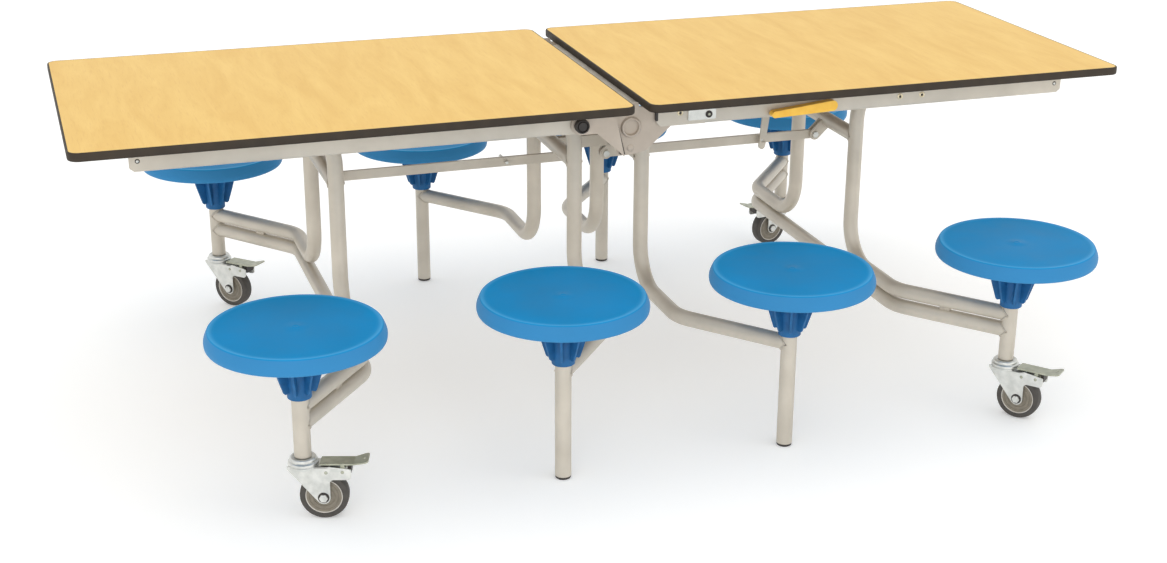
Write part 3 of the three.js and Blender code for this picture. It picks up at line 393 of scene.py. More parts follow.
# %% [markdown]
# The leaf is faced with a printed maple laminate: pale and warm, with long faint streaks and short
# flecks along the table's depth. An image of a board could be laid on it, but two noise patterns that
# are squeezed across the grain give streaks and flecks that never repeat.

# %% Maple laminate
def maple_laminate():
    """A melamine sheet printed as maple, under a thin clear wear layer."""
    material, tree, shader, place = new_finish("maple_laminate", Roughness=0.42, IOR=1.5)
    long_grain = add(tree, "ShaderNodeMapping", {"Scale": (6, 1, 1)}, {"Vector": place})
    figure = {"Detail": 5, "Roughness": 0.6, "Distortion": 0.6}
    tone = mottled(tree, long_grain, "#F5CB68", "#EABA52", 300, stops=(0.3, 0.72), **figure)
    short_grain = add(tree, "ShaderNodeMapping", {"Scale": (16, 1, 1)}, {"Vector": place})
    fleck = add(tree, "ShaderNodeTexNoise", {"Scale": per_metre(40), "Detail": 2}, {"Vector": short_grain})
    depth = add(tree, "ShaderNodeMapRange", limits(0.55, 0.75, 0, 0.35), {"Value": fleck})
    fleck_colour = {"B": linear("#DFA848")}
    blend = add(tree, "ShaderNodeMix", fleck_colour, {"Factor": depth, "A": tone}, data_type="RGBA")
    tree.links.new(blend.outputs["Result"], shader.inputs["Base Color"])
    grained(tree, shader, place, size_mm=3, height_mm=0.02, strength=0.3)
    return material


MAPLE = maple_laminate()
print("made", MAPLE.name)

# %% [markdown]
# The frame is steel tube with a silver-grey powder coat. Fork, collar and pedal are pressed from
# steel and zinc plated, so they are brighter and more metallic than the paint. Tyres, caps and feet
# are dull plastics. Each takes its own shades, gloss and grain size from the one function.

# %% Frame, caster and trim finishes
# The balancing sheet under the leaf is a plain brown paper laminate.
BACKER = finish("paper_backer", "#8C7A66", "#7C6B59", 60, (0.6, 0.7), 2, 0.02, IOR=1.5)
# A soft vinyl edge, dark brown-grey, with the dull sheen of extruded plastic.
VINYL_EDGE = finish("extruded_vinyl_edge", "#3A3024", "#31281D", 25, (0.55, 0.68), 1.5, 0.03, IOR=1.42)
# Powder coat: a silver-grey metallic paint with faint orange peel, drawn coarse enough to show.
POWDER_COAT = finish("silver_powder_coat", "#CEC6B8", "#C1B9AB", 90, (0.36, 0.48), 2.5, 0.02, Metallic=0.3)
# The hinge plates take a darker, warmer grey than the tubes: painted shade for the shadow under the leaves'
# overhang.
PLATE_COAT_SHADED = finish("plate_coat_painted_shade", "#C3B6A7", "#B6A99A", 60, (0.4, 0.52), 2.5, 0.02, Metallic=0.3)
# The deposited weld, painted with the tube, is a little duller.
WELD = finish("painted_weld", "#C6BEB0", "#B5AD9F", 4, (0.42, 0.55), 1.2, 0.1, Metallic=0.3)
# Zinc plate keeps the dull bright skin of pressed steel.
ZINC = finish("zinc_plated_steel", "#E2E2DD", "#CCCDC8", 18, (0.28, 0.44), 2, 0.02, Metallic=0.85)
# The pedal has more yellow in its passivation.
PASSIVATED = finish("passivated_zinc", "#BABBA9", "#A2A492", 15, (0.32, 0.46), 2, 0.02, Metallic=0.8)
# Eyelets are rolled from thin brass and have gone pale.
BRASS = finish("pale_brass", "#F0E4C6", "#DCCDA8", 4, (0.3, 0.42), 1, 0.01, Metallic=0.5)
# A thermoplastic rubber tyre, grey so that it leaves no marks on the floor, on a nylon core.
TYRE = finish("grey_rubber_tyre", "#4C4843", "#413D39", 12, (0.6, 0.75), 1.2, 0.05, IOR=1.52)
CORE = finish("wheel_core_nylon", "#867E70", "#787163", 12, (0.45, 0.6), 1.2, 0.03, IOR=1.53)
CORE_RING = finish("wheel_ring_nylon", "#D8D3CA", "#C9C3B9", 10, (0.45, 0.6), 1.2, 0.02, IOR=1.53)
# The grip is dipped in yellow vinyl, and the small black trim is moulded nylon.
YELLOW_VINYL = finish("dipped_yellow_vinyl", "#FFCC4C", "#F8BC38", 30, (0.38, 0.5), 2, 0.03, IOR=1.52)
BLACK_NYLON = finish("black_nylon", "#352E29", "#2A2521", 15, (0.45, 0.6), 1.2, 0.03, IOR=1.53)
print("finishes so far:", len(bpy.data.materials))

# %% [markdown]
# Seats are moulded in polypropylene: satin, slightly waxy, from a spark-eroded mould. Two bands of
# colour are painted light: a pale blue along the crest is a painted highlight, and a greyer, duller
# blue over the rim and underside is painted sheen and shade. They could be painted by hand, but both
# bands lie at one height all round, so the height of each point sets how much of each band's colour
# is blended in.

# %% Seat plastic
# Each band of painted light runs between two depths below the seat's top, with an amount of its colour at
# each.
SEAT_PAINTED_LIGHT = [
    # The crest band is a painted highlight; the band below it holds over the rim and underside as painted
    # sheen and shade.
    {"depths": (0.9, 0), "amounts": (0.0, 0.55), "colour": "#5FB2E4"},
    {"depths": (2.6, 0.9), "amounts": (0.65, 0.0), "colour": "#4682B2"},
]


def paint_seat_light(material):
    """Blends each band of painted highlight, sheen and shade into the colour of a seat."""
    tree = material.node_tree
    shader = tree.nodes["Principled BSDF"]
    colour = shader.inputs["Base Color"].links[0].from_socket
    place = add(tree, "ShaderNodeTexCoord").outputs["Object"]
    height = add(tree, "ShaderNodeSeparateXYZ", links={"Vector": place}).outputs["Z"]
    for band in SEAT_PAINTED_LIGHT:
        heights = [(SEAT_TOP - depth) * MM for depth in band["depths"]]
        amount = add(tree, "ShaderNodeMapRange", limits(*heights, *band["amounts"]), {"Value": height})
        painted_colour = {"B": linear(band["colour"])}
        blend = add(tree, "ShaderNodeMix", painted_colour, {"Factor": amount, "A": colour}, data_type="RGBA")
        colour = blend.outputs["Result"]
    tree.links.new(colour, shader.inputs["Base Color"])


WAXY = {"IOR": 1.4, "Specular IOR Level": 0.1}
SEAT_BLUE = finish("moulded_polypropylene", "#078CCA", "#0484BE", 140, (0.42, 0.52), 1.6, 0.03, **WAXY)
paint_seat_light(SEAT_BLUE)
# The hub and its fins take a duller, deeper blue: painted shade for the shadow under the seat.
HUB_BLUE_SHADED = finish("ribbed_polypropylene_painted_shade", "#1D679F", "#175A8C", 20, (0.5, 0.62), 1.6, 0.03, IOR=1.4)
print("finishes:", len(bpy.data.materials))

# %% [markdown]
# A bent tube follows a path, so Geometry Nodes sweep it: the seed object is a chain of edges along
# the centre line, and the tree makes it a curve, runs a circle along it and closes the ends. One
# seed can hold several chains, such as a leg and its stool post, which are welded together.

# %% Trees and seeds
def new_tree(name, **sockets):
    """A tree with named inputs for its geometry, its sizes and its material."""
    tree = bpy.data.node_groups.new(name, "GeometryNodeTree")
    for label, kind in {"Geometry": "Geometry", **sockets, "Material": "Material"}.items():
        tree.interface.new_socket(label, in_out="INPUT", socket_type=f"NodeSocket{kind}")
    tree.interface.new_socket("Geometry", in_out="OUTPUT", socket_type="NodeSocketGeometry")
    return tree, add(tree, "NodeGroupInput").outputs


def end_tree(tree, geometry, inputs):
    """Every tree ends in real geometry with its material."""
    real = add(tree, "GeometryNodeRealizeInstances", links={"Geometry": geometry})
    painted = add(tree, "GeometryNodeSetMaterial", links={"Geometry": real, "Material": inputs["Material"]})
    add(tree, "NodeGroupOutput", links={"Geometry": painted})
    print("tree:", tree.name)
    return tree


def grow(tree, name, seed_mesh, **settings):
    """Runs a tree on a seed mesh and keeps the result as a plain mesh."""
    thing = in_scene(name, seed_mesh)
    modifier = thing.modifiers.new("Grow", "NODES")
    modifier.node_group = tree
    identifiers = {item.name: item.identifier for item in tree.interface.items_tree if item.in_out == "INPUT"}
    for label, value in settings.items():
        modifier[identifiers[label]] = value
    evaluated = thing.evaluated_get(bpy.context.evaluated_depsgraph_get())
    plain = bpy.data.meshes.new_from_object(evaluated)
    thing.modifiers.clear()
    thing.data = plain
    return thing


def chains(paths, name):
    """A mesh of edge chains, one for each path of points in millimetres."""
    mesh = bpy.data.meshes.new(name)
    points, edges = [], []
    for path in paths:
        start = len(points)
        points += [Vector(point) * MM for point in path]
        edges += [(start + k, start + k + 1) for k in range(len(path) - 1)]
    mesh.from_pydata(points, edges, [])
    return mesh


# %% Tubes along a path
TUBE_SIDES = 40
BEND_STEP = math.radians(6)


def tube_tree():
    tree, inputs = new_tree("Tube along a path", Radius="Float", Sides="Int")
    line = add(tree, "GeometryNodeMeshToCurve", links={"Mesh": inputs["Geometry"]})
    sizes = {"Radius": inputs["Radius"], "Resolution": inputs["Sides"]}
    section = add(tree, "GeometryNodeCurvePrimitiveCircle", links=sizes)
    sweep = {"Curve": line, "Profile Curve": section}
    tube = add(tree, "GeometryNodeCurveToMesh", {"Fill Caps": True}, sweep)
    return end_tree(tree, tube, inputs)


TUBE_TREE = tube_tree()


def bent(corners, radii):
    """Points along straight runs with a round bend at each inner corner."""
    corners = [Vector(corner) for corner in corners]
    path = [corners[0]]
    for before, corner, after, radius in zip(corners, corners[1:], corners[2:], radii):
        heading = (corner - before).normalized()
        leaving = (after - corner).normalized()
        turn = heading.angle(leaving)
        side = (leaving - heading * heading.dot(leaving)).normalized()
        start = corner - heading * radius * math.tan(turn / 2)
        count = max(2, math.ceil(turn / BEND_STEP))
        for k in range(count + 1):
            angle = turn * k / count
            path.append(start + heading * radius * math.sin(angle) + side * radius * (1 - math.cos(angle)))
    return path + [corners[-1]]


def tubes(name, paths, body, *replaced, radius=TUBE_RADIUS):
    seed = chains(paths, name)
    thing = grow(TUBE_TREE, name, seed, Radius=radius * MM, Sides=TUBE_SIDES, Material=POWDER_COAT)
    settle(thing, body, "painted_steel", *replaced)


# %% [markdown]
# Each leg starts on a pivot tube, leans in, drops, turns out level and ends at its stool post. It
# could be shaped by eye, but a tube bender knows only straight runs and bend radii, so the path is
# worked out from those. All eight legs share it, mirrored by the signs of their points.

# %% Legs and stool posts
INNER_POST_FOOT = 6.3
CASTER_TOP = 136


def leg_paths(leg_x, post_foot, side, end):
    pivot_x, post_x = leg_x + LEG_SETBACK, leg_x + POST_REACH
    corners = [
        (pivot_x, LEG_Y, inner_pivot.z),
        (leg_x, LEG_Y, inner_pivot.z - LEG_SETBACK / math.tan(LEG_LEAN)),
        (leg_x, LEG_Y, ARM_Z),
        (leg_x, ARM_CORNER_Y, ARM_Z),
        (post_x, POST_Y, ARM_Z),
    ]
    line = bent(corners, [LEG_SETBACK / (1 - math.cos(LEG_LEAN)), FOOT_BEND, ARM_BEND])
    post = [Vector((post_x, POST_Y, post_foot)), Vector((post_x, POST_Y, POST_TOP))]
    signs = Vector((SIDES[side], -ENDS[end], 1))
    return [[point * signs for point in path] for path in (line, post)]


for side, end in CORNERS:
    name = f"{side}_{end}_inner_leg"
    tubes(f"{name}_tube", leg_paths(INNER_LEG_X, INNER_POST_FOOT, side, end), "centre_frame", name)
    name = f"{side}_{end}_outer_leg"
    tubes(f"{name}_tube", leg_paths(OUTER_LEG_X, CASTER_TOP, side, end), f"{side}_caster_frame", name)
tell("legs")

# %% [markdown]
# The pivot tubes run across the table under each leaf, with a thinner pin at each end. The cross
# tubes tie the front legs to the rear ones, and a lower stretcher follows the plan of the arms on
# each outer frame. All are tube, so the same tree makes them.

# %% Pivot tubes, cross tubes and stretchers
PIN_RADIUS = 8
# Place along X, body, half length, and how far the pins reach to the front and the rear.
PIVOT_TUBES = {
    "left_inner": (-inner_pivot.x, "centre_frame", 303, (344, 337)),
    "right_inner": (inner_pivot.x, "centre_frame", 319.7, (329, 329)),
    "left_outer": (-outer_pivot.x, "left_caster_frame", 310.4, (326, 326)),
    "right_outer": (outer_pivot.x, "right_caster_frame", 310.4, (326, 326)),
}


def across(x, z, front, rear):
    return [(x, -front, z), (x, rear, z)]


def stretcher_path(sign):
    post_x = OUTER_LEG_X + POST_REACH
    corners = [(post_x, -POST_Y), (OUTER_LEG_X, -ARM_CORNER_Y), (OUTER_LEG_X, ARM_CORNER_Y), (post_x, POST_Y)]
    return bent([(sign * x, y, STRETCHER_Z) for x, y in corners], [ARM_BEND, ARM_BEND])


def cross_path(x):
    return across(x, CROSS_TUBE_Z, LEG_Y, LEG_Y)


for place, (x, body, half_length, pin_ends) in PIVOT_TUBES.items():
    name = f"{place}_pivot_tube"
    tubes(f"{name}_run", [across(x, inner_pivot.z, half_length, half_length)], body, name)
    tubes(f"{name}_pins", [across(x, inner_pivot.z, *pin_ends)], body, radius=PIN_RADIUS)
for side, sign in SIDES.items():
    body = f"{side}_caster_frame"
    tubes(f"{side}_stretcher_tube", [stretcher_path(sign)], body, f"{side}_stretcher")
    tubes(f"{side}_outer_cross_run", [cross_path(sign * OUTER_LEG_X)], body)
tubes("inner_cross_runs", [cross_path(-INNER_LEG_X), cross_path(INNER_LEG_X)], "centre_frame")
tell("tubes")

# %% [markdown]
# Brackets of flat plate hang from the cross tubes and hold the links between them on bolts. On the
# centre frame, two longer plates tie the cross tubes together. They are cut plates, so an outline
# with two round ends is given a thickness and its rims are softened.

# %% Brackets
BRACKET_FACES = [(-10, -5), (5, 10)]
EYE_RADIUS = 14
BOLT_RADIUS, BOLT_ENDS = 5, (-12, 13)
BOLT_HEAD = (8, 5)


def hexagon_head(size, x, z, face_y):
    """A bolt head of a radius and height, with six flats, standing forward from face_y."""
    radius, height = size
    outline = arc((0, 0), radius, 0, 300, 5)
    return along_y(extruded(outline, height, edge=1), x, z, face_y)


def bracket(tube_x, link_x):
    outline = strap((tube_x, CROSS_TUBE_Z), (link_x, link_pivot.z), EYE_RADIUS)
    plates = [plate(outline, low, high) for low, high in BRACKET_FACES]
    bolt = bar(BOLT_RADIUS, *BOLT_ENDS, link_x, link_pivot.z)
    head = hexagon_head(BOLT_HEAD, link_x, link_pivot.z, BRACKET_FACES[0][0])
    fixing = [bolt, head, moved(head, FLIP_Y)]
    return [(shape, POWDER_COAT) for shape in plates] + [(shape, ZINC) for shape in fixing]


tie_outline = strap((-INNER_LEG_X, CROSS_TUBE_Z), (INNER_LEG_X, CROSS_TUBE_Z), EYE_RADIUS)
carrier = [(plate(tie_outline, low, high), POWDER_COAT) for low, high in BRACKET_FACES]
carrier += bracket(-INNER_LEG_X, -link_pivot.x) + bracket(INNER_LEG_X, link_pivot.x)
piece("link_carrier_plates", carrier, "centre_frame", "painted_steel", "link_carrier")
tell("link carrier")

# %% Links
LINK_OUTER_X = link_pivot.x + outer_pivot.x - inner_pivot.x
LINK_HALF_WIDTH, LINK_HALF_THICKNESS = 11, 4
PEG_RADIUS, PEG_FRONT = 4, -14
PEG_X = {"left": -200, "right": 450}
PEG_TAIL = {"left": 46, "right": -3}
for side, sign in SIDES.items():
    parts = bracket(sign * OUTER_LEG_X, sign * LINK_OUTER_X)
    name = f"{side}_outer_cross_tube"
    piece(f"{side}_link_bracket", parts, f"{side}_caster_frame", "painted_steel", name)
    outline = strap((link_pivot.x, link_pivot.z), (LINK_OUTER_X, link_pivot.z), LINK_HALF_WIDTH)
    flat = mirrored(plate(outline, -LINK_HALF_THICKNESS, LINK_HALF_THICKNESS), side)
    peg = bar(PEG_RADIUS, PEG_FRONT, PEG_TAIL[side], PEG_X[side], link_pivot.z)
    parts = [(flat, POWDER_COAT), (peg, ZINC)]
    piece(f"{side}_link_flat", parts, f"{side}_link_bar", "painted_steel", f"{side}_link")
tell("brackets and links")

# %% [markdown]
# Where one tube is welded to another, a rippled bead runs round the seam. The seam of two equal tubes
# is a saddle: each point round the branch slides along it until it meets the skin of the other tube.
# The loops of points are the seed, and Geometry Nodes lay a small ball at every step along them,
# close enough to melt into ripples.

# %% A bead along a seam
WELD_RADIUS = 2.6
WELD_STEP = 1.9


def weld_tree():
    tree, inputs = new_tree("Weld bead along a seam", Radius="Float", Step="Float")
    line = add(tree, "GeometryNodeMeshToCurve", links={"Mesh": inputs["Geometry"]})
    spacing = {"Curve": line, "Length": inputs["Step"]}
    places = add(tree, "GeometryNodeCurveToPoints", links=spacing, mode="LENGTH")
    drop = add(tree, "GeometryNodeMeshIcoSphere", {"Subdivisions": 2}, {"Radius": inputs["Radius"]})
    ripples = add(tree, "GeometryNodeInstanceOnPoints", links={"Points": places, "Instance": drop})
    return end_tree(tree, ripples, inputs)


WELD_TREE = weld_tree()


def welds(body, loops):
    name = f"{body}_welds"
    seed = chains(loops, name)
    bead = grow(WELD_TREE, name, seed, Radius=WELD_RADIUS * MM, Step=WELD_STEP * MM, Material=WELD)
    settle(bead, body, "painted_steel")


# %% Weld seams
SEAM_STEPS = 64
UPRIGHT, ACROSS = Vector((0, 0, 1)), Vector((0, 1, 0))


def seam(centre, branch, run):
    """The loop round a branch tube where it meets the tube that runs along another direction."""
    branch = Vector(branch).normalized()
    side = branch.cross(run).normalized()
    other = side.cross(branch)
    ahead = branch - run * branch.dot(run)
    loop = []
    for step in range(SEAM_STEPS + 1):
        angle = math.tau * step / SEAM_STEPS
        skin = (side * math.cos(angle) + other * math.sin(angle)) * TUBE_RADIUS
        out = skin - run * skin.dot(run)
        a, b, c = ahead.dot(ahead), ahead.dot(out), out.dot(out) - TUBE_RADIUS**2
        reach = (math.sqrt(max(0, b * b - a * c)) - b) / a
        loop.append(Vector(centre) + branch * reach + skin)
    return loop


def frame_seams(leg_x, arm_heights, side):
    """Arm to post, leg to pivot tube and cross tube to leg, at the front and the rear."""
    pivot_x, post_x = leg_x + LEG_SETBACK, leg_x + POST_REACH
    arm = (leg_x - post_x, ARM_CORNER_Y - POST_Y, 0)
    lean = (-LEG_SETBACK, 0, -LEG_SETBACK / math.tan(LEG_LEAN))
    loops = [seam((post_x, POST_Y, z), arm, UPRIGHT) for z in arm_heights]
    loops.append(seam((pivot_x, LEG_Y, inner_pivot.z), lean, ACROSS))
    loops.append(seam((leg_x, LEG_Y, CROSS_TUBE_Z), -ACROSS, UPRIGHT))
    signs = [Vector((SIDES[side], ENDS[end], 1)) for end in ENDS]
    return [[point * sign for point in loop] for sign in signs for loop in loops]


welds("centre_frame", [loop for side in SIDES for loop in frame_seams(INNER_LEG_X, [ARM_Z], side)])
for side in SIDES:
    welds(f"{side}_caster_frame", frame_seams(OUTER_LEG_X, [ARM_Z, STRETCHER_Z], side))
tell("weld beads")

# %% [markdown]
# Nearly halfway along each slanted run, a short block is welded between the arm and the stretcher. It is a
# flat bar stood on edge, so a soft-cornered outline is given a height and turned to the run.

# %% Weld ties
TIE_SHARE = 0.45
TIE_HALF, TIE_CORNER = Vector((13, 6)), 2
TIE_BURY = 12


def tie(side, end):
    run = Vector((POST_REACH, POST_Y - ARM_CORNER_Y))
    middle = Vector((OUTER_LEG_X, ARM_CORNER_Y)) + run * TIE_SHARE
    outline = rounded_rectangle(-TIE_HALF, TIE_HALF, TIE_CORNER, 4)
    block = slab(outline, STRETCHER_Z + TIE_BURY, ARM_Z - TIE_BURY)
    turn = Matrix.Rotation(math.atan2(run.y, run.x), 4, "Z")
    place = Matrix.Translation((middle.x, middle.y, 0)) @ turn
    return moved(moved(block, place), Matrix.Diagonal((SIDES[side], -ENDS[end], 1, 1)))


for side in SIDES:
    parts = [(tie(side, end), WELD) for end in ENDS]
    piece(f"{side}_weld_ties", parts, f"{side}_caster_frame", "painted_steel")
tell("weld ties")

# %% [markdown]
# Each leaf is a board faced with laminate above and a plain backing sheet below, held in an extruded
# edge band with a rounded nose. The band follows the leaf's outline, so its section is set out as
# rounded rectangles of growing size, joined ring to ring.

# %% Leaves and edge bands
LEAF_CORNER = 24
BACKER_THICKNESS = 1.2
BAND_WALL = 4
# Inset of the band's face from its outermost line, and height from the leaf's lower or upper face.
BAND_NOSE = [(BAND_WALL, 0), (1.8, 0), (0.7, 0.8), (0.1, 2.6), (0, 6)]


def leaf_outline(inset):
    low = (LEAF_START + inset, inset - LEAF_HALF_DEPTH)
    high = (LEAF_END - inset, LEAF_HALF_DEPTH - inset)
    return rounded_rectangle(low, high, LEAF_CORNER - inset)


def lofted(rings):
    """A closed skin over rings of points, the last ring joined to the first."""
    count = len(rings[0])
    points = [Vector(point) for ring in rings for point in ring]
    faces = []
    for r in range(len(rings)):
        here, there = r * count, (r + 1) % len(rings) * count
        for k in range(count):
            after = (k + 1) % count
            faces.append((here + k, here + after, there + after, there + k))
    return Shape(points, faces)


def level_rings(outlines):
    """Rings for a skin, from pairs of an outline and its height."""
    return [[(x, y, z) for x, y in outline] for outline, z in outlines]


field = leaf_outline(BAND_WALL)
split = LEAF_BOTTOM + BACKER_THICKNESS
band_profile = [(inset, LEAF_BOTTOM + rise) for inset, rise in BAND_NOSE]
band_profile += [(inset, LEAF_TOP - rise) for inset, rise in reversed(BAND_NOSE)]
band = lofted(level_rings([(leaf_outline(inset), z) for inset, z in band_profile]))
for side in SIDES:
    faced = mirrored(slab(field, split, LEAF_TOP), side)
    backed = mirrored(slab(field, LEAF_BOTTOM, split), side)
    parts = [(faced, MAPLE), (backed, BACKER)]
    piece(f"{side}_leaf", parts, f"{side}_top", "maple_laminate", f"{side}_board")
    parts = [(mirrored(band, side), VINYL_EDGE)]
    piece(f"{side}_moulding", parts, f"{side}_top", "edge_moulding", f"{side}_edge_band")
tell("leaves")

# %% [markdown]
# A painted steel strip on the right leaf's edge closes most of the gap between the leaves. It is thin,
# so an outline with round corners lies flat at the foot of the edge band.

# %% Gap lip
LIP_START, LIP_END = (0, -300), (LEAF_START + 3, 268)
LIP_CORNER = 4
LIP_THICKNESS = 3
LIP_BOTTOM = LEAF_BOTTOM - 0.5
lip = slab(rounded_rectangle(LIP_START, LIP_END, LIP_CORNER, 5), LIP_BOTTOM, LIP_BOTTOM + LIP_THICKNESS)
piece("gap_lip", [(lip, POWDER_COAT)], "right_top", "painted_steel")
tell("gap lip")

# %% [markdown]
# The rails are folded from sheet: an open channel with round folds, screwed under the leaf. A bent
# plane with Solidify would do, but the folded section, drawn once and pulled along X, keeps its folds
# true. Towards the middle of the table the flanges stop and the web runs on alone to the pivot. A
# block inside carries the outer pivot.

# %% Rails
RAIL_WALL = 3
FOLD_RADIUS = 4.5
INNER_FOLD = FOLD_RADIUS - RAIL_WALL
FLANGE_START = 167
RAIL_NOSE = 10
WEB_START = {"left": 107, "right": 52}
WEB_BACK = RAIL_FACE - RAIL_WALL
WEB_LIFT, WEB_EDGE = 0.5, 0.4
NOSE_CUT = [(0, 1), (RAIL_NOSE - 2, 7), (RAIL_NOSE, RAIL_NOSE)]
BEARING_HALF, BEARING_DEPTH, BEARING_EDGE = 42, 16, 1.5
ALONG_X = Matrix(((0, 0, 1, 0), (1, 0, 0, 0), (0, 1, 0, 0), (0, 0, 0, 1)))


def channel_section():
    """The folded section, in Y and Z, with round folds."""
    fold_y, low, high = FOLD_RADIUS - RAIL_FACE, RAIL_BOTTOM, RAIL_TOP
    section = [(-FLANGE_EDGE, low), (-FLANGE_EDGE, low + RAIL_WALL)]
    section += arc((fold_y, low + FOLD_RADIUS), INNER_FOLD, 270, 180, 4)
    section += arc((fold_y, high - FOLD_RADIUS), INNER_FOLD, 180, 90, 4)
    section += [(-FLANGE_EDGE, high - RAIL_WALL), (-FLANGE_EDGE, high)]
    section += arc((fold_y, high - FOLD_RADIUS), FOLD_RADIUS, 90, 180, 6)
    section += arc((fold_y, low + FOLD_RADIUS), FOLD_RADIUS, 180, 270, 6)
    return section


def rail(web_start):
    nose_start = RAIL_END - RAIL_NOSE
    channel = extruded(channel_section(), nose_start - FLANGE_START)
    web_bottom = RAIL_BOTTOM + WEB_LIFT
    tongue = [(web_start, RAIL_BOTTOM + RAIL_NOSE), (web_start + RAIL_NOSE, web_bottom)]
    tongue += [(FLANGE_START, web_bottom), (FLANGE_START, RAIL_TOP), (web_start, RAIL_TOP)]
    nose = [(nose_start + along, RAIL_BOTTOM + rise) for along, rise in NOSE_CUT]
    nose += [(RAIL_END, RAIL_TOP), (nose_start, RAIL_TOP)]
    low = (outer_pivot.x - BEARING_HALF, RAIL_BOTTOM + RAIL_WALL)
    high = (outer_pivot.x + BEARING_HALF, RAIL_TOP - RAIL_WALL)
    return joined(
        moved(channel, Matrix.Translation((FLANGE_START, 0, 0)) @ ALONG_X),
        plate(tongue, -RAIL_FACE, -WEB_BACK, WEB_EDGE),
        plate(nose, -RAIL_FACE, -WEB_BACK, WEB_EDGE),
        plate(rectangle(low, high), -WEB_BACK, BEARING_DEPTH - WEB_BACK, BEARING_EDGE),
    )


for side, end in CORNERS:
    name = f"{side}_{end}_rail"
    parts = [(mirrored(rail(WEB_START[side]), side, end), POWDER_COAT)]
    piece(f"{name}_channel", parts, f"{side}_top", "painted_steel", name)
tell("rails")

# %% [markdown]
# Rivets hold the bearing block in the right rail, and their rolled eyelets show on its face. A screw
# near each free end ties the rail to the leaf. Heads of one kind repeat, so Geometry Nodes set a
# flattened dome on each point of a seed. A black strip on the right rail's inner end is painted
# shadow, for the dark gap between the rail and the hinge plate.

# %% Domed heads
def head_tree():
    tree, inputs = new_tree("Domed heads on points", Radius="Float", Height="Float", Turn="Vector")
    places = add(tree, "GeometryNodeMeshToPoints", links={"Mesh": inputs["Geometry"]})
    counts = {"Segments": 20, "Rings": 10}
    dome = add(tree, "GeometryNodeMeshUVSphere", counts, {"Radius": inputs["Radius"]})
    ratio = {0: inputs["Height"], 1: inputs["Radius"]}
    flatness = add(tree, "ShaderNodeMath", links=ratio, operation="DIVIDE")
    shape = add(tree, "ShaderNodeCombineXYZ", {"X": 1, "Y": 1}, {"Z": flatness})
    copies = {"Points": places, "Instance": dome, "Rotation": inputs["Turn"], "Scale": shape}
    return end_tree(tree, add(tree, "GeometryNodeInstanceOnPoints", links=copies), inputs)


HEAD_TREE = head_tree()


def heads(name, points, size, turn, material, body, slot):
    """Domed heads of a radius and height, on points in millimetres."""
    seed = mesh_of(Shape([Vector(point) for point in points], []), name)
    radius, height = size
    sizes = {"Radius": radius * MM, "Height": height * MM}
    settle(grow(HEAD_TREE, name, seed, **sizes, Turn=turn, Material=material), body, slot)


# %% Rail fixings
SCREW_X, SCREW_Z = 1060, 690
SCREW_HEAD = (3.4, 1.8)
WASHER = (5, 0.8)
EYELETS = [(108, 695), (651, 690), (707, 690)]
EYELET_RING = [(3, 0), (7, 0), (7, 0.6), (6, 1.5), (4.2, 1.7), (3, 0.9)]
# A black disc in each eyelet is painted shade for its dark hole.
EYELET_HOLE_SHADE = [(0, 0), (3.4, 0), (3.4, 0.5), (0, 0.5)]
GAP_SHADE_LOW, GAP_SHADE_HIGH, GAP_SHADE_PROUD = (49, 681), (55, 713), 2
GAP_SHADE_CORNER, GAP_SHADE_EDGE = 2, 0.5
FACING_FRONT = (math.pi / 2, 0, 0)
for side, sign in SIDES.items():
    body = f"{side}_top"
    places = [(sign * SCREW_X, y, SCREW_Z) for y in (-RAIL_FACE, RAIL_FACE)]
    heads(f"{side}_rail_screws", places, SCREW_HEAD, FACING_FRONT, ZINC, body, "zinc_steel")
    heads(f"{side}_rail_washers", places, WASHER, FACING_FRONT, BLACK_NYLON, body, "black_plastic")

parts = []
for x, z in EYELETS:
    for profile, material in ((EYELET_RING, BRASS), (EYELET_HOLE_SHADE, BLACK_NYLON)):
        parts.append((along_y(turned(profile, 32), x, z, -RAIL_FACE), material))
piece("right_rail_eyelets", parts, "right_top", "zinc_steel")

# A black strip on each right rail's inner end is painted shadow for the gap there.
outline = rounded_rectangle(GAP_SHADE_LOW, GAP_SHADE_HIGH, GAP_SHADE_CORNER, 4)
gap_shade = plate(outline, -RAIL_FACE - GAP_SHADE_PROUD, -WEB_BACK, GAP_SHADE_EDGE)
parts = [(mirrored(gap_shade, "right", end), BLACK_NYLON) for end in ENDS]
piece("right_rail_gap_shade", parts, "right_top", "black_plastic")
tell("rail fixings")

# %% [markdown]
# Between the inner pivots, cut plates form the middle of the frame: the left pair lies in front and
# the right pair laps behind it, with a tube end that stands out as a ring and a pressed dimple. A black
# strip between them is painted shadow: its edge draws the dark line of the seam. Each plate is one
# outline drawn from the pivots, and the round forms on it are turned.

# %% Hinge plates
HINGE_RADIUS = 22
HINGE_FOOT = inner_pivot.z - 80
HINGE_TOP = inner_pivot.z + HINGE_RADIUS
LEFT_PLATE_FACES = (-337, -332)
RIGHT_PLATE_FACES = (-325, -320)
PLATE_EDGE = 1
SEAM_TOP, SEAM_BOTTOM = -46, -24
HINGE_LAP = 12
FOOT_PULL, FOOT_END, FOOT_STEPS = (24, HINGE_FOOT), (35, HINGE_FOOT + 11), 8
SHOULDER_X = inner_pivot.x - 37
RING_CENTRE = (-6, inner_pivot.z - 17)
RING_PROFILE = [(17, -1), (17, 4.4), (18, 5.8), (19.4, 6.4), (21, 6), (22.4, 4.6), (23.4, 2), (24, -1)]
DIMPLE_CENTRE = (-6, HINGE_FOOT + 15)
DIMPLE_PROFILE = [(0, -1), (9, -1), (8.4, 0.2), (6.4, 1.2), (3.6, 1.9), (0, 2.1)]
TAB_HALF, TAB_DRAFT = 13, 2
NECK_FOOT_X, NECK_TOP_X = 34, 30
TAB_TOP, TAB_FOOT = LEAF_BOTTOM + 8, LEAF_BOTTOM - 1.5


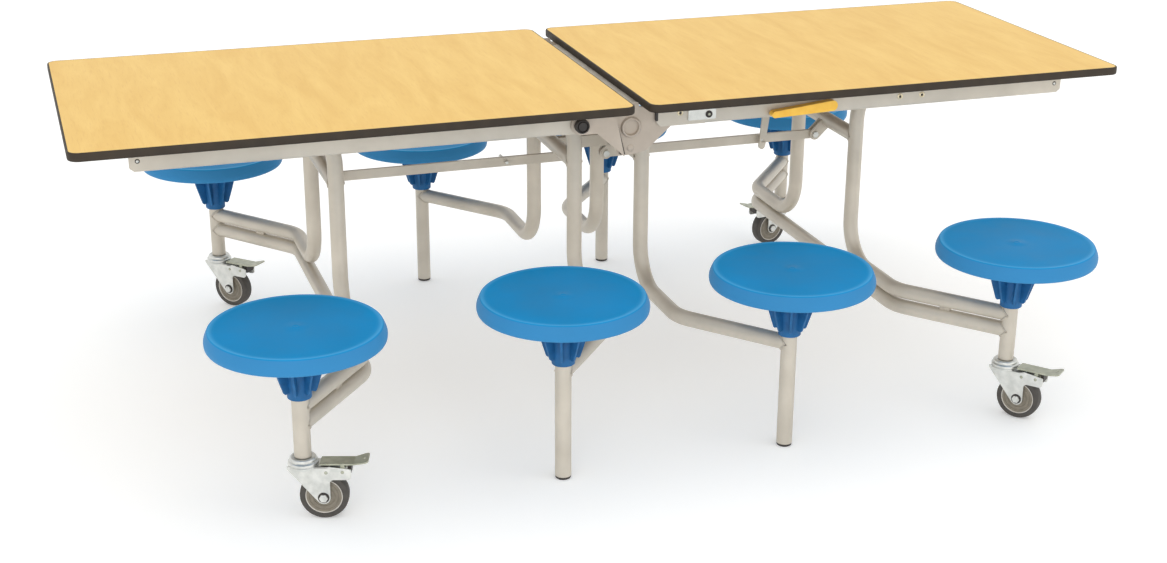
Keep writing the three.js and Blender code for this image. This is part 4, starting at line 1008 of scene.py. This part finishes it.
def hinge_outline(top_x, bottom_x):
    """From the middle of the table out to the right inner pivot, with a foot that curves up."""
    start = (bottom_x, HINGE_FOOT)
    foot = [start]
    for step in range(1, FOOT_STEPS + 1):
        t = step / FOOT_STEPS
        a, b, c = (1 - t) ** 2, 2 * t * (1 - t), t * t
        foot.append(tuple(a * p + b * q + c * r for p, q, r in zip(start, FOOT_PULL, FOOT_END)))
    nose = arc((inner_pivot.x, inner_pivot.z), HINGE_RADIUS, -90, 90, 18)
    return foot + [(SHOULDER_X, inner_pivot.z - HINGE_RADIUS)] + nose + [(top_x, HINGE_TOP)]


def raised_tab(top_x):
    """The top of the right plate, which rises into the gap between the leaves."""
    crown = TAB_HALF - TAB_DRAFT
    tab = [(TAB_HALF, TAB_FOOT), (crown, TAB_TOP), (-crown, TAB_TOP), (-TAB_HALF, TAB_FOOT)]
    return [(NECK_FOOT_X, HINGE_TOP), (NECK_TOP_X, TAB_FOOT)] + tab + [(top_x, TAB_FOOT)]


left_plate = plate(hinge_outline(-SEAM_TOP, -SEAM_BOTTOM), *LEFT_PLATE_FACES, PLATE_EDGE)
right_outline = hinge_outline(SEAM_TOP - HINGE_LAP, SEAM_BOTTOM - HINGE_LAP)
right_outline[-1:] = raised_tab(SEAM_TOP - HINGE_LAP)
right_plate = joined(
    plate(right_outline, *RIGHT_PLATE_FACES, PLATE_EDGE),
    along_y(turned(RING_PROFILE, 48), *RING_CENTRE, RIGHT_PLATE_FACES[0]),
    along_y(turned(DIMPLE_PROFILE, 32), *DIMPLE_CENTRE, RIGHT_PLATE_FACES[0]),
)
for end in ENDS:
    for side, shape in (("left", left_plate), ("right", right_plate)):
        name = f"{side}_{end}_hinge_plate"
        parts = [(mirrored(shape, side, end), PLATE_COAT_SHADED)]
        piece(f"{name}_cut", parts, "centre_frame", "painted_steel", name)
tell("hinge plates")

# %% Painted shadow strips in the seam
# The black strips are painted shadow: they draw the dark line of the seam between the plates.
STRIP_LAP, STRIP_SHOW, STRIP_EDGE = 8, 3.2, 0.4
STRIP_TOP, STRIP_BOTTOM = inner_pivot.z + 12, HINGE_FOOT + 4
STRIP_FACES = (-331.8, -325.2)
outline = [(SEAM_TOP - STRIP_LAP, STRIP_TOP), (SEAM_BOTTOM - STRIP_LAP, STRIP_BOTTOM)]
outline += [(SEAM_BOTTOM + STRIP_SHOW, STRIP_BOTTOM), (SEAM_TOP + STRIP_SHOW, STRIP_TOP)]
strip = plate(outline, *STRIP_FACES, STRIP_EDGE)
parts = [(mirrored(strip, "right", end), BLACK_NYLON) for end in ENDS]
piece("hinge_seam_shadow_strips", parts, "centre_frame", "black_plastic")
tell("seam strips")

# %% [markdown]
# The left front pivot has a round black cap with a groove in its face, turned from its section. A
# zinc cover with a push button sits on the right rail: a plate from the box of its plain solid, with
# a turned bezel and plunger.

# %% Cap and lock plate
CAP_BACK = -337.3
CAP_PROFILE = [(0, 0), (15, 0), (16, 1), (16, 11), (15.4, 12.8), (14, 13.8), (12.8, 13.8), (12.2, 12.8)]
CAP_PROFILE += [(12, 9.6), (10.8, 9.6), (10.4, 12.4), (9.6, 13.2), (0, 13.4)]
BUTTON_X = inner_pivot.x + 50
BUTTON_PROUD = 3
LOCK_CORNER = 3
BEZEL_PROFILE = [(3.2, 0), (8, 0), (8, 1.6), (7.2, 2.4), (4.2, 2.4), (3.2, 1.8)]
PLUNGER_PROFILE = [(0, 0), (3.2, 0), (3.2, 1.9), (2.6, 2.6), (0, 2.8)]
cap = along_y(turned(CAP_PROFILE), -inner_pivot.x, inner_pivot.z, CAP_BACK)
piece("left_pivot_knob", [(cap, BLACK_NYLON)], "centre_frame", "black_plastic", "left_pivot_cap")

lock_low, lock_high = corners_of("lock_plate")
lock_face = lock_low.y + BUTTON_PROUD
outline = rounded_rectangle((lock_low.x, lock_low.z), (lock_high.x, lock_high.z), LOCK_CORNER, 5)
parts = [(plate(outline, lock_face, lock_high.y), ZINC)]
for profile, material in ((BEZEL_PROFILE, BLACK_NYLON), (PLUNGER_PROFILE, PASSIVATED)):
    parts.append((along_y(turned(profile, 40), BUTTON_X, inner_pivot.z, lock_face), material))
piece("lock_plate_cover", parts, "right_top", "zinc_steel", "lock_plate")
tell("cap and lock plate")

# %% [markdown]
# The latch: a yellow grip turns a shaft under the right leaf, and a hook on the shaft holds a peg on
# the link. The hook's slot is part of its outline, so no cutting is needed. The grip is a strap with
# a rim so round that it reads as dipped.

# %% Latch
SHAFT_RADIUS, SHAFT_ENDS = 6, (-348, -16)
HOOK_FACES = (-22, -16)
HOOK_LIP, HOOK_EDGE = 14, 0.6
HOOK_RADIUS, HOOK_TIP_RADIUS = 11, 8
SLOT_RADIUS, SLOT_CLEAR, SLOT_MOUTH = 4.6, 4.65, 8.6
GRIP_LENGTH, GRIP_TILT = 142, math.radians(4)
GRIP_RADIUS, GRIP_TIP_RADIUS = 12, 7.5
GRIP_FACES, GRIP_EDGE = (-352, -334), 4.5
LUG_FACES, LUG_RADIUS = (-60, -55), 14
LUG_FOOT_HALF, LUG_FOOT_BACK, LUG_FOOT_CORNER, LUG_WALL = 22, -85, 3, 3
latch_axis = (latch_pivot.x, latch_pivot.z)


def hook_outline():
    """From the shaft down to the lip, with a slot that opens away from the middle of the table."""
    shaft = Vector(latch_axis)
    notch = Vector((PEG_X["right"], link_pivot.z))
    lip = notch + (notch - shaft).normalized() * HOOK_LIP
    body = strap(tuple(shaft), tuple(lip), HOOK_RADIUS, HOOK_TIP_RADIUS, 20)
    beside = [p for p in body if p[0] > notch.x and abs(p[1] - notch.y) <= SLOT_CLEAR]
    keep = [p for p in body if p not in beside]
    under = [k for k, p in enumerate(keep) if p[0] > notch.x and p[1] < notch.y - SLOT_CLEAR]
    last = max(under, key=lambda k: keep[k][1]) + 1
    mouth = notch.x + SLOT_MOUTH
    slot = [(mouth, notch.y - SLOT_RADIUS), *arc(tuple(notch), SLOT_RADIUS, -90, -270, 14)]
    return keep[:last] + slot + [(mouth, notch.y + SLOT_RADIUS)] + keep[last:]


shaft = bar(SHAFT_RADIUS, *SHAFT_ENDS, *latch_axis)
hook = plate(hook_outline(), *HOOK_FACES, HOOK_EDGE)
piece("latch_hook_weldment", [(shaft, ZINC), (hook, POWDER_COAT)], "latch", "painted_steel", "latch_hook")

tip_x = latch_pivot.x - GRIP_LENGTH * math.cos(GRIP_TILT)
tip_z = latch_pivot.z - GRIP_LENGTH * math.sin(GRIP_TILT)
outline = strap(latch_axis, (tip_x, tip_z), GRIP_RADIUS, GRIP_TIP_RADIUS, 20)
grip = plate(outline, *GRIP_FACES, GRIP_EDGE, 5)
piece("latch_grip", [(grip, YELLOW_VINYL)], "latch", "yellow_plastic", "latch_handle")

lug = plate(strap(latch_axis, (latch_pivot.x, RAIL_TOP - LUG_RADIUS), LUG_RADIUS), *LUG_FACES)
foot_low = (latch_pivot.x - LUG_FOOT_HALF, LUG_FOOT_BACK)
foot_high = (latch_pivot.x + LUG_FOOT_HALF, LUG_FACES[1])
lug_foot = slab(rounded_rectangle(foot_low, foot_high, LUG_FOOT_CORNER), RAIL_TOP - LUG_WALL, RAIL_TOP)
parts = [(lug, POWDER_COAT), (lug_foot, POWDER_COAT)]
piece("latch_bracket_lug", parts, "right_top", "painted_steel", "latch_bracket")
tell("latch")

# %% [markdown]
# A stool seat is one moulding: a round top with a crisp crest, a flared rim and a sleeve that slides
# over the post. The shell and sleeve are turned. The fins around the sleeve repeat, so Geometry
# Nodes place copies of one fin around the axis.

# %% Seat shapes
CREST_INSET, CREST_RADIUS = 11, 5
FIN_COUNT, FIN_HALF_THICKNESS, FIN_RIM = 8, 2.5, 0.9
UNDERSIDE, FIN_TOP = SEAT_TOP - 6, SEAT_TOP - 5
UNDERSIDE_FLAT = 60
# Radius and drop below the top, from the moulding mark in the middle out over the dish.
SEAT_DISH = [(0, 1.4), (4.6, 1.4), (5.4, 1), (6.4, 1), (7.2, 1.5)]
SEAT_DISH += [(30, 1.5), (80, 1.4), (120, 1.2), (150, 1), (160, 0.8)]
# Inset from the seat's edge and drop, down the flared rim and up inside it.
SEAT_RIM = [(3.4, 9.5), (1.4, 14.6), (0.3, 19), (0, 23), (0.3, 27.4), (1.2, 31), (2.6, 33.2), (4, 34)]
SEAT_RIM += [(5, 33.7), (5.6, 32), (6.4, 18), (9, 12), (16, 7)]
# Radius and height above the hub's foot.
SLEEVE_OUTSIDE = [(18.8, 0), (23.6, 0), (24.6, 1.2), (25.4, 36)]
SLEEVE_TOP, SLEEVE_BORE, SLEEVE_CHAMFER = 25.8, 17.9, 1
FIN_EDGE = [(20, 16), (33, 14), (36, 17), (48, 55), (52.5, 71), (58, 110)]
FIN_ROOT, FIN_REACH = 20, 62


def seat_shell():
    dish = [(radius, SEAT_TOP - drop) for radius, drop in SEAT_DISH]
    crest = arc((SEAT_RADIUS - CREST_INSET, SEAT_TOP - CREST_RADIUS), CREST_RADIUS, 90, 25, 7)
    rim = [(SEAT_RADIUS - inset, SEAT_TOP - drop) for inset, drop in SEAT_RIM]
    return turned(dish + crest + rim + [(UNDERSIDE_FLAT, UNDERSIDE), (0, UNDERSIDE)], 120)


def seat_sleeve():
    outside = [(radius, HUB_FOOT + rise) for radius, rise in SLEEVE_OUTSIDE]
    bore = [(SLEEVE_BORE, FIN_TOP), (SLEEVE_BORE, HUB_FOOT + SLEEVE_CHAMFER)]
    return turned(outside + [(SLEEVE_TOP, FIN_TOP)] + bore, 64)


def seat_fin():
    """One fin along +X, from the sleeve out under the shell."""
    edge = [(radius, HUB_FOOT + rise) for radius, rise in FIN_EDGE]
    outline = edge + [(FIN_REACH, FIN_TOP), (FIN_ROOT, FIN_TOP)]
    return plate(outline, -FIN_HALF_THICKNESS, FIN_HALF_THICKNESS, FIN_RIM)


def ring_tree():
    tree, inputs = new_tree("Copies around an axis", Count="Int", Centre="Vector")
    points = add(tree, "GeometryNodePoints", links={"Count": inputs["Count"], "Position": inputs["Centre"]})
    index = add(tree, "GeometryNodeInputIndex")
    middle = add(tree, "ShaderNodeMath", {1: 0.5}, {0: index}, operation="ADD")
    share = add(tree, "ShaderNodeMath", links={0: middle, 1: inputs["Count"]}, operation="DIVIDE")
    angle = add(tree, "ShaderNodeMath", {1: math.tau}, {0: share}, operation="MULTIPLY")
    turn = add(tree, "ShaderNodeCombineXYZ", links={"Z": angle})
    copies = {"Points": points, "Instance": inputs["Geometry"], "Rotation": turn}
    return end_tree(tree, add(tree, "GeometryNodeInstanceOnPoints", links=copies), inputs)


RING_TREE = ring_tree()


# %% Seats
def placed(parts, matrix):
    """Moves (shape, material) pairs together."""
    return [(moved(shape, matrix), material) for shape, material in parts]


def post_axis(leg_x, side, end):
    return Vector((SIDES[side] * (leg_x + POST_REACH), -ENDS[end] * POST_Y, 0))


seat_parts = [(seat_shell(), SEAT_BLUE), (seat_sleeve(), HUB_BLUE_SHADED)]
fin_shape = seat_fin()
for side, end in CORNERS:
    stools = [("inner", INNER_LEG_X, "centre_frame"), ("outer", OUTER_LEG_X, f"{side}_caster_frame")]
    for place, leg_x, body in stools:
        name = f"{side}_{end}_{place}_seat"
        axis = post_axis(leg_x, side, end)
        parts = placed(seat_parts, Matrix.Translation(axis))
        piece(f"{name}_shell", parts, body, "seat_plastic", name)
        settings = {"Count": FIN_COUNT, "Centre": axis * MM, "Material": HUB_BLUE_SHADED}
        fins = grow(RING_TREE, f"{name}_fins", mesh_of(fin_shape, "fin"), **settings)
        settle(fins, body, "seat_plastic")
tell("seats")

# %% [markdown]
# The centre posts stand on black glides that plug into the tube. A glide is a round moulding, so half
# of its section is turned about the post. A plain cylinder would lack the rolled edge that shows.

# %% Glides
GLIDE_PROFILE = [(0, 0), (15, 0), (16.6, 1.2), (17, 3), (16.6, 5.4), (16, 6), (0, 6)]
for side, end in CORNERS:
    name = f"{side}_{end}_glide"
    shape = moved(turned(GLIDE_PROFILE), Matrix.Translation(post_axis(INNER_LEG_X, side, end)))
    piece(f"{name}_foot", [(shape, BLACK_NYLON)], "centre_frame", "black_plastic", name)
tell("glides")

# %% [markdown]
# A caster is drawn once with its wheel trailing along +X and its post on the Z axis, then turned to
# the angle that the frame's joints give for each corner. The fork is pressed from plate: two cheeks
# under a crown, with a ball-race collar of stacked rings on top.

# %% Caster places
def from_post(joint):
    """How far a joint of a caster trails behind its post, and its height."""
    place = joint_at[f"left_front_{joint}"]
    away = place - joint_at["left_front_swivel"]
    return round(math.hypot(away.x, away.y), 2), round(place.z, 2)


def caster_place(corner):
    """Turns and moves a caster to the place that its joints give."""
    post = joint_at[f"{corner}_swivel"]
    trail = joint_at[f"{corner}_wheel_spin"] - post
    turn = math.atan2(trail.y, trail.x)
    return Matrix.Translation((post.x, post.y, 0)) @ Matrix.Rotation(turn, 4, "Z")


TRAIL, WHEEL_RADIUS = from_post("wheel_spin")
PEDAL_PIN = from_post("brake")
caster_places = {f"{side}_{end}": caster_place(f"{side}_{end}") for side, end in CORNERS}
print("wheels of", WHEEL_RADIUS, "mm radius trail by", TRAIL, "mm")

# %% Caster wheels
# Radius and half width, from the inside out. Each section is mirrored about the wheel's middle.
TYRE_SECTION = [(38, 14), (45, 14.2), (48.4, 13), (49.6, 10), (WHEEL_RADIUS, 4)]
RING_SECTION = [(35.6, 12.6), (36.2, 13.6), (37.4, 13.6), (38, 12.6)]
CORE_SECTION = [(6.6, 15), (12.6, 15), (14, 13.6), (14.4, 12.2), (20, 12), (20.6, 11), (22.4, 11), (23, 12)]
CORE_SECTION += [(28, 12), (28.6, 11), (30.4, 11), (31, 12), (35.6, 12)]


def wheel_parts():
    parts = []
    for section, material in ((TYRE_SECTION, TYRE), (RING_SECTION, CORE_RING), (CORE_SECTION, CORE)):
        profile = [(radius, -half) for radius, half in section] + section[::-1]
        parts.append((along_y(turned(profile), TRAIL, WHEEL_RADIUS), material))
    return parts


# %% Caster forks
CROWN_Z = 119
CROWN_WALL = 4
CROWN_START, CROWN_CORNER = -16, 3
CHEEK_FACE, CHEEK_EDGE = 20, 0.9
CHEEK_FACES = [(-CHEEK_FACE, -17), (17, CHEEK_FACE)]
CHEEK_FRONT, CHEEK_BACK = -31, TRAIL + 57
CHEEK_TOP, CHEEK_HEEL = CROWN_Z - 5, 90
CHEEK_EYE, CHEEK_FILLET, HEEL_CORNER, TOP_CORNER = 14, 8, 7, 4
CHEEK_WAIST = TRAIL + CHEEK_EYE
AXLE_RADIUS, AXLE_END = 6, 21
AXLE_HEAD = (9, 5)
WASHER_PROFILE = [(0, 0), (11.6, 0), (11.6, 1), (11, 1.6), (0, 1.6)]
RIVETS = [(47, 106), PEDAL_PIN]
RIVET_HEAD = (3.6, 1.8)
# Radius and height above the crown's face, up the stacked rings of the ball race.
COLLAR = [(0, -4), (30.4, -4), (31, -3.4), (31, -0.6), (29.8, 0.4), (29.8, 1.2), (31, 2.2), (31, 6.4)]
COLLAR += [(30, 7.6), (28.4, 8), (27.6, 8.8), (27.6, 9.6), (28, 10.4), (27.4, 13.4), (25.4, 15.8)]
COLLAR += [(24, 16.4), (21, 16.4), (20.4, 15.4), (0, 15.4)]


def cheek_outline():
    """From the front of the crown down round the axle and up to the pedal's pin."""
    outline = [(CHEEK_FRONT, CROWN_Z), (CHEEK_FRONT, CHEEK_TOP)]
    outline += arc((TRAIL, WHEEL_RADIUS), CHEEK_EYE, 225, 360, 14)
    outline += arc((CHEEK_WAIST + CHEEK_FILLET, CHEEK_HEEL - CHEEK_FILLET), CHEEK_FILLET, 180, 90, 6)
    outline += arc((CHEEK_BACK - HEEL_CORNER, CHEEK_HEEL + HEEL_CORNER), HEEL_CORNER, 270, 360, 6)
    outline += arc((CHEEK_BACK - TOP_CORNER, CHEEK_TOP - TOP_CORNER), TOP_CORNER, 0, 80, 4)
    return outline + [(CHEEK_WAIST, CROWN_Z)]


def fork_parts():
    collar = turned([(radius, CROWN_Z + rise) for radius, rise in COLLAR])
    crown_low, crown_high = (CROWN_START, -CHEEK_FACE), (CHEEK_WAIST, CHEEK_FACE)
    crown_outline = rounded_rectangle(crown_low, crown_high, CROWN_CORNER)
    crown = slab(crown_outline, CROWN_Z - CROWN_WALL, CROWN_Z)
    cheeks = [plate(cheek_outline(), low, high, CHEEK_EDGE) for low, high in CHEEK_FACES]
    axle = bar(AXLE_RADIUS, -AXLE_END, AXLE_END, TRAIL, WHEEL_RADIUS)
    head = hexagon_head(AXLE_HEAD, TRAIL, WHEEL_RADIUS, -CHEEK_FACE)
    washer = along_y(turned(WASHER_PROFILE, 40), TRAIL, WHEEL_RADIUS, -CHEEK_FACE)
    zinc = [(shape, ZINC) for shape in (collar, crown, *cheeks, axle, head, moved(head, FLIP_Y))]
    return zinc + [(washer, BLACK_NYLON), (moved(washer, FLIP_Y), BLACK_NYLON)]


for corner, matrix in caster_places.items():
    name = f"{corner}_caster_fork"
    piece(f"{name}_pressing", placed(fork_parts(), matrix), f"{corner}_caster", "zinc_steel", name)
    name = f"{corner}_caster_wheel"
    piece(f"{name}_tyred", placed(wheel_parts(), matrix), f"{corner}_wheel", "grey_rubber", name)
    rivets = [matrix @ Vector((u, face, z)) for u, z in RIVETS for face in (-CHEEK_FACE, CHEEK_FACE)]
    turn = (math.pi / 2, 0, matrix.to_euler().z)
    heads(f"{corner}_fork_rivets", rivets, RIVET_HEAD, turn, PASSIVATED, f"{corner}_caster", "zinc_steel")
tell("wheels and forks")

# %% [markdown]
# The brake pedal is a stamped plate with a flared, upturned tip. Two ears hold it on a pin between
# the cheeks, and a black shoe under it meets the tyre. The hole in the tip could be cut by a Boolean
# modifier, but joining each corner of the outline to the hole's edge leaves cleaner faces.

# %% Brake pedals
PEDAL_BOTTOM, PEDAL_WALL = CROWN_Z + 3, 3
PEDAL_HALF, TIP_HALF, TIP_CORNER, TIP_SHOULDER = 18, 22, 6, 2
PEDAL_START, PEDAL_BEND, PEDAL_TIP = TRAIL - 5, TRAIL + 64, TRAIL + 93
PEDAL_RISE = 7
TIP_HOLE_RADIUS, TIP_HOLE_INSET = 4, 9
EAR_RADIUS, EAR_TOP_RADIUS, EAR_TOP_DROP, EAR_EDGE = 6.5, 4, 2, 0.5
EAR_FACES = [(-16.4, -13.4), (13.4, 16.4)]
PEDAL_PIN_RADIUS, PEDAL_PIN_END = 3.5, 20
SHOE_OUTLINE = [(90, 103), (97, 102), (97, PEDAL_BOTTOM), (90, PEDAL_BOTTOM)]
SHOE_HALF, SHOE_EDGE = 13, 1.2


def pierced(outline, centre, radius, depth):
    """A flat plate with a round hole: each corner of the outline is joined to the hole's edge."""
    hole = []
    for x, y in outline:
        away = Vector((x - centre[0], y - centre[1])).normalized() * radius
        hole.append((centre[0] + away.x, centre[1] + away.y))
    return lofted(level_rings([(outline, 0), (outline, depth), (hole, depth), (hole, 0)]))


def pedal_parts():
    tread_outline = rectangle((PEDAL_START, -PEDAL_HALF), (PEDAL_BEND, PEDAL_HALF))
    tread = slab(tread_outline, PEDAL_BOTTOM, PEDAL_BOTTOM + PEDAL_WALL)
    length = math.hypot(PEDAL_TIP - PEDAL_BEND, PEDAL_RISE)
    round_x, round_y = length - TIP_CORNER, TIP_HALF - TIP_CORNER
    tip = [(0, -PEDAL_HALF), (round_x - TIP_SHOULDER, -TIP_HALF)]
    tip += arc((round_x, -round_y), TIP_CORNER, -80, 0, 6) + arc((round_x, round_y), TIP_CORNER, 0, 80, 6)
    tip += [(round_x - TIP_SHOULDER, TIP_HALF), (0, PEDAL_HALF)]
    slope = math.atan2(PEDAL_RISE, PEDAL_TIP - PEDAL_BEND)
    tilt = Matrix.Translation((PEDAL_BEND, 0, PEDAL_BOTTOM)) @ Matrix.Rotation(-slope, 4, "Y")
    flared = moved(pierced(tip, (length - TIP_HOLE_INSET, 0), TIP_HOLE_RADIUS, PEDAL_WALL), tilt)
    ear_top = (PEDAL_PIN[0], PEDAL_BOTTOM - EAR_TOP_DROP)
    ear_outline = strap(PEDAL_PIN, ear_top, EAR_RADIUS, EAR_TOP_RADIUS)
    ears = [plate(ear_outline, low, high, EAR_EDGE) for low, high in EAR_FACES]
    pin = bar(PEDAL_PIN_RADIUS, -PEDAL_PIN_END, PEDAL_PIN_END, *PEDAL_PIN)
    shoe = plate(SHOE_OUTLINE, -SHOE_HALF, SHOE_HALF, SHOE_EDGE)
    metal = [(shape, PASSIVATED) for shape in (tread, flared, *ears, pin)]
    return metal + [(shoe, BLACK_NYLON)]


for corner, matrix in caster_places.items():
    name = f"{corner}_brake_pedal"
    piece(f"{name}_stamping", placed(pedal_parts(), matrix), f"{corner}_pedal", "zinc_steel", name)
tell("pedals")

# %% [markdown]
# The camera stands where the photographer's did: its place, turn and focal length were fitted to the
# corners of the leaves and the feet of the posts. The place is in metres, and the focal length and
# the optical centre are in the photograph's pixels.

# %% Camera
IMAGE_WIDTH, IMAGE_HEIGHT = 1167, 563
SENSOR_WIDTH = 36
CAMERA_PLACE = Vector((-1.2984, -3.8595, 1.7401))
CAMERA_AZIMUTH = math.radians(-19.300)
CAMERA_ELEVATION = math.radians(20.918)
CAMERA_ROLL = math.radians(0.566)
FOCAL_PIXELS = 1776.0
OPTICAL_CENTRE = (605.8, 284.0)

camera = in_scene("camera", bpy.data.cameras.new("camera"))
bpy.context.scene.camera = camera
camera.data.sensor_width = SENSOR_WIDTH
camera.data.lens = FOCAL_PIXELS / IMAGE_WIDTH * SENSOR_WIDTH
camera.data.shift_x = (IMAGE_WIDTH / 2 - OPTICAL_CENTRE[0]) / IMAGE_WIDTH
camera.data.shift_y = (OPTICAL_CENTRE[1] - IMAGE_HEIGHT / 2) / IMAGE_WIDTH
pan = Matrix.Rotation(CAMERA_AZIMUTH, 4, "Z")
tilt = Matrix.Rotation(math.pi / 2 - CAMERA_ELEVATION, 4, "X")
roll = Matrix.Rotation(CAMERA_ROLL, 4, "Z")
camera.matrix_world = Matrix.Translation(CAMERA_PLACE) @ pan @ tilt @ roll
print("lens of", round(camera.data.lens, 1), "mm")

# %% [markdown]
# A pale floor and a white room give the even light of a studio. The floor glows a little, as a light
# table does, so that the table's own shade stays faint. Two large soft lamps stand low in front, so
# that the rails and the grip under the overhanging leaves are lit as well as the tops.

# %% Floor and light
WHITE = (1, 1, 1, 1)
ROOM_LIGHT = 1.0
FLOOR_HALF = 14.0
FLOOR_VALUES = {
    "Base Color": linear("#FAFAF8"),
    "Roughness": 0.8,
    "Emission Color": WHITE,
    "Emission Strength": 0.2,
}
LAMP_TARGET = Vector((0, 0, 0.4))
LAMP_SIZE = 2.5

bpy.context.scene.view_settings.view_transform = "Standard"
world = bpy.data.worlds.new("studio")
bpy.context.scene.world = world
world.use_nodes = True
background = world.node_tree.nodes["Background"]
background.inputs["Color"].default_value = WHITE
background.inputs["Strength"].default_value = ROOM_LIGHT

floor_mesh = bpy.data.meshes.new("floor")
floor_outline = rectangle((-FLOOR_HALF, -FLOOR_HALF), (FLOOR_HALF, FLOOR_HALF))
floor_mesh.from_pydata([(x, y, 0) for x, y in floor_outline], [], [(0, 1, 2, 3)])
floor = in_scene("floor", floor_mesh)
pale = bpy.data.materials.new("pale_floor")
pale.use_nodes = True
for socket, value in FLOOR_VALUES.items():
    pale.node_tree.nodes["Principled BSDF"].inputs[socket].default_value = value
floor_mesh.materials.append(pale)


def soft_light(name, place, watts):
    lamp = in_scene(name, bpy.data.lights.new(name, "AREA"))
    lamp.data.shape = "DISK"
    lamp.data.size = LAMP_SIZE
    lamp.data.energy = watts
    lamp.location = place
    lamp.rotation_euler = (LAMP_TARGET - Vector(place)).to_track_quat("-Z", "Y").to_euler()


soft_light("key", place=(-2.5, -4.8, 2.2), watts=34)
soft_light("fill", place=(3.5, -3.5, 2.0), watts=15)
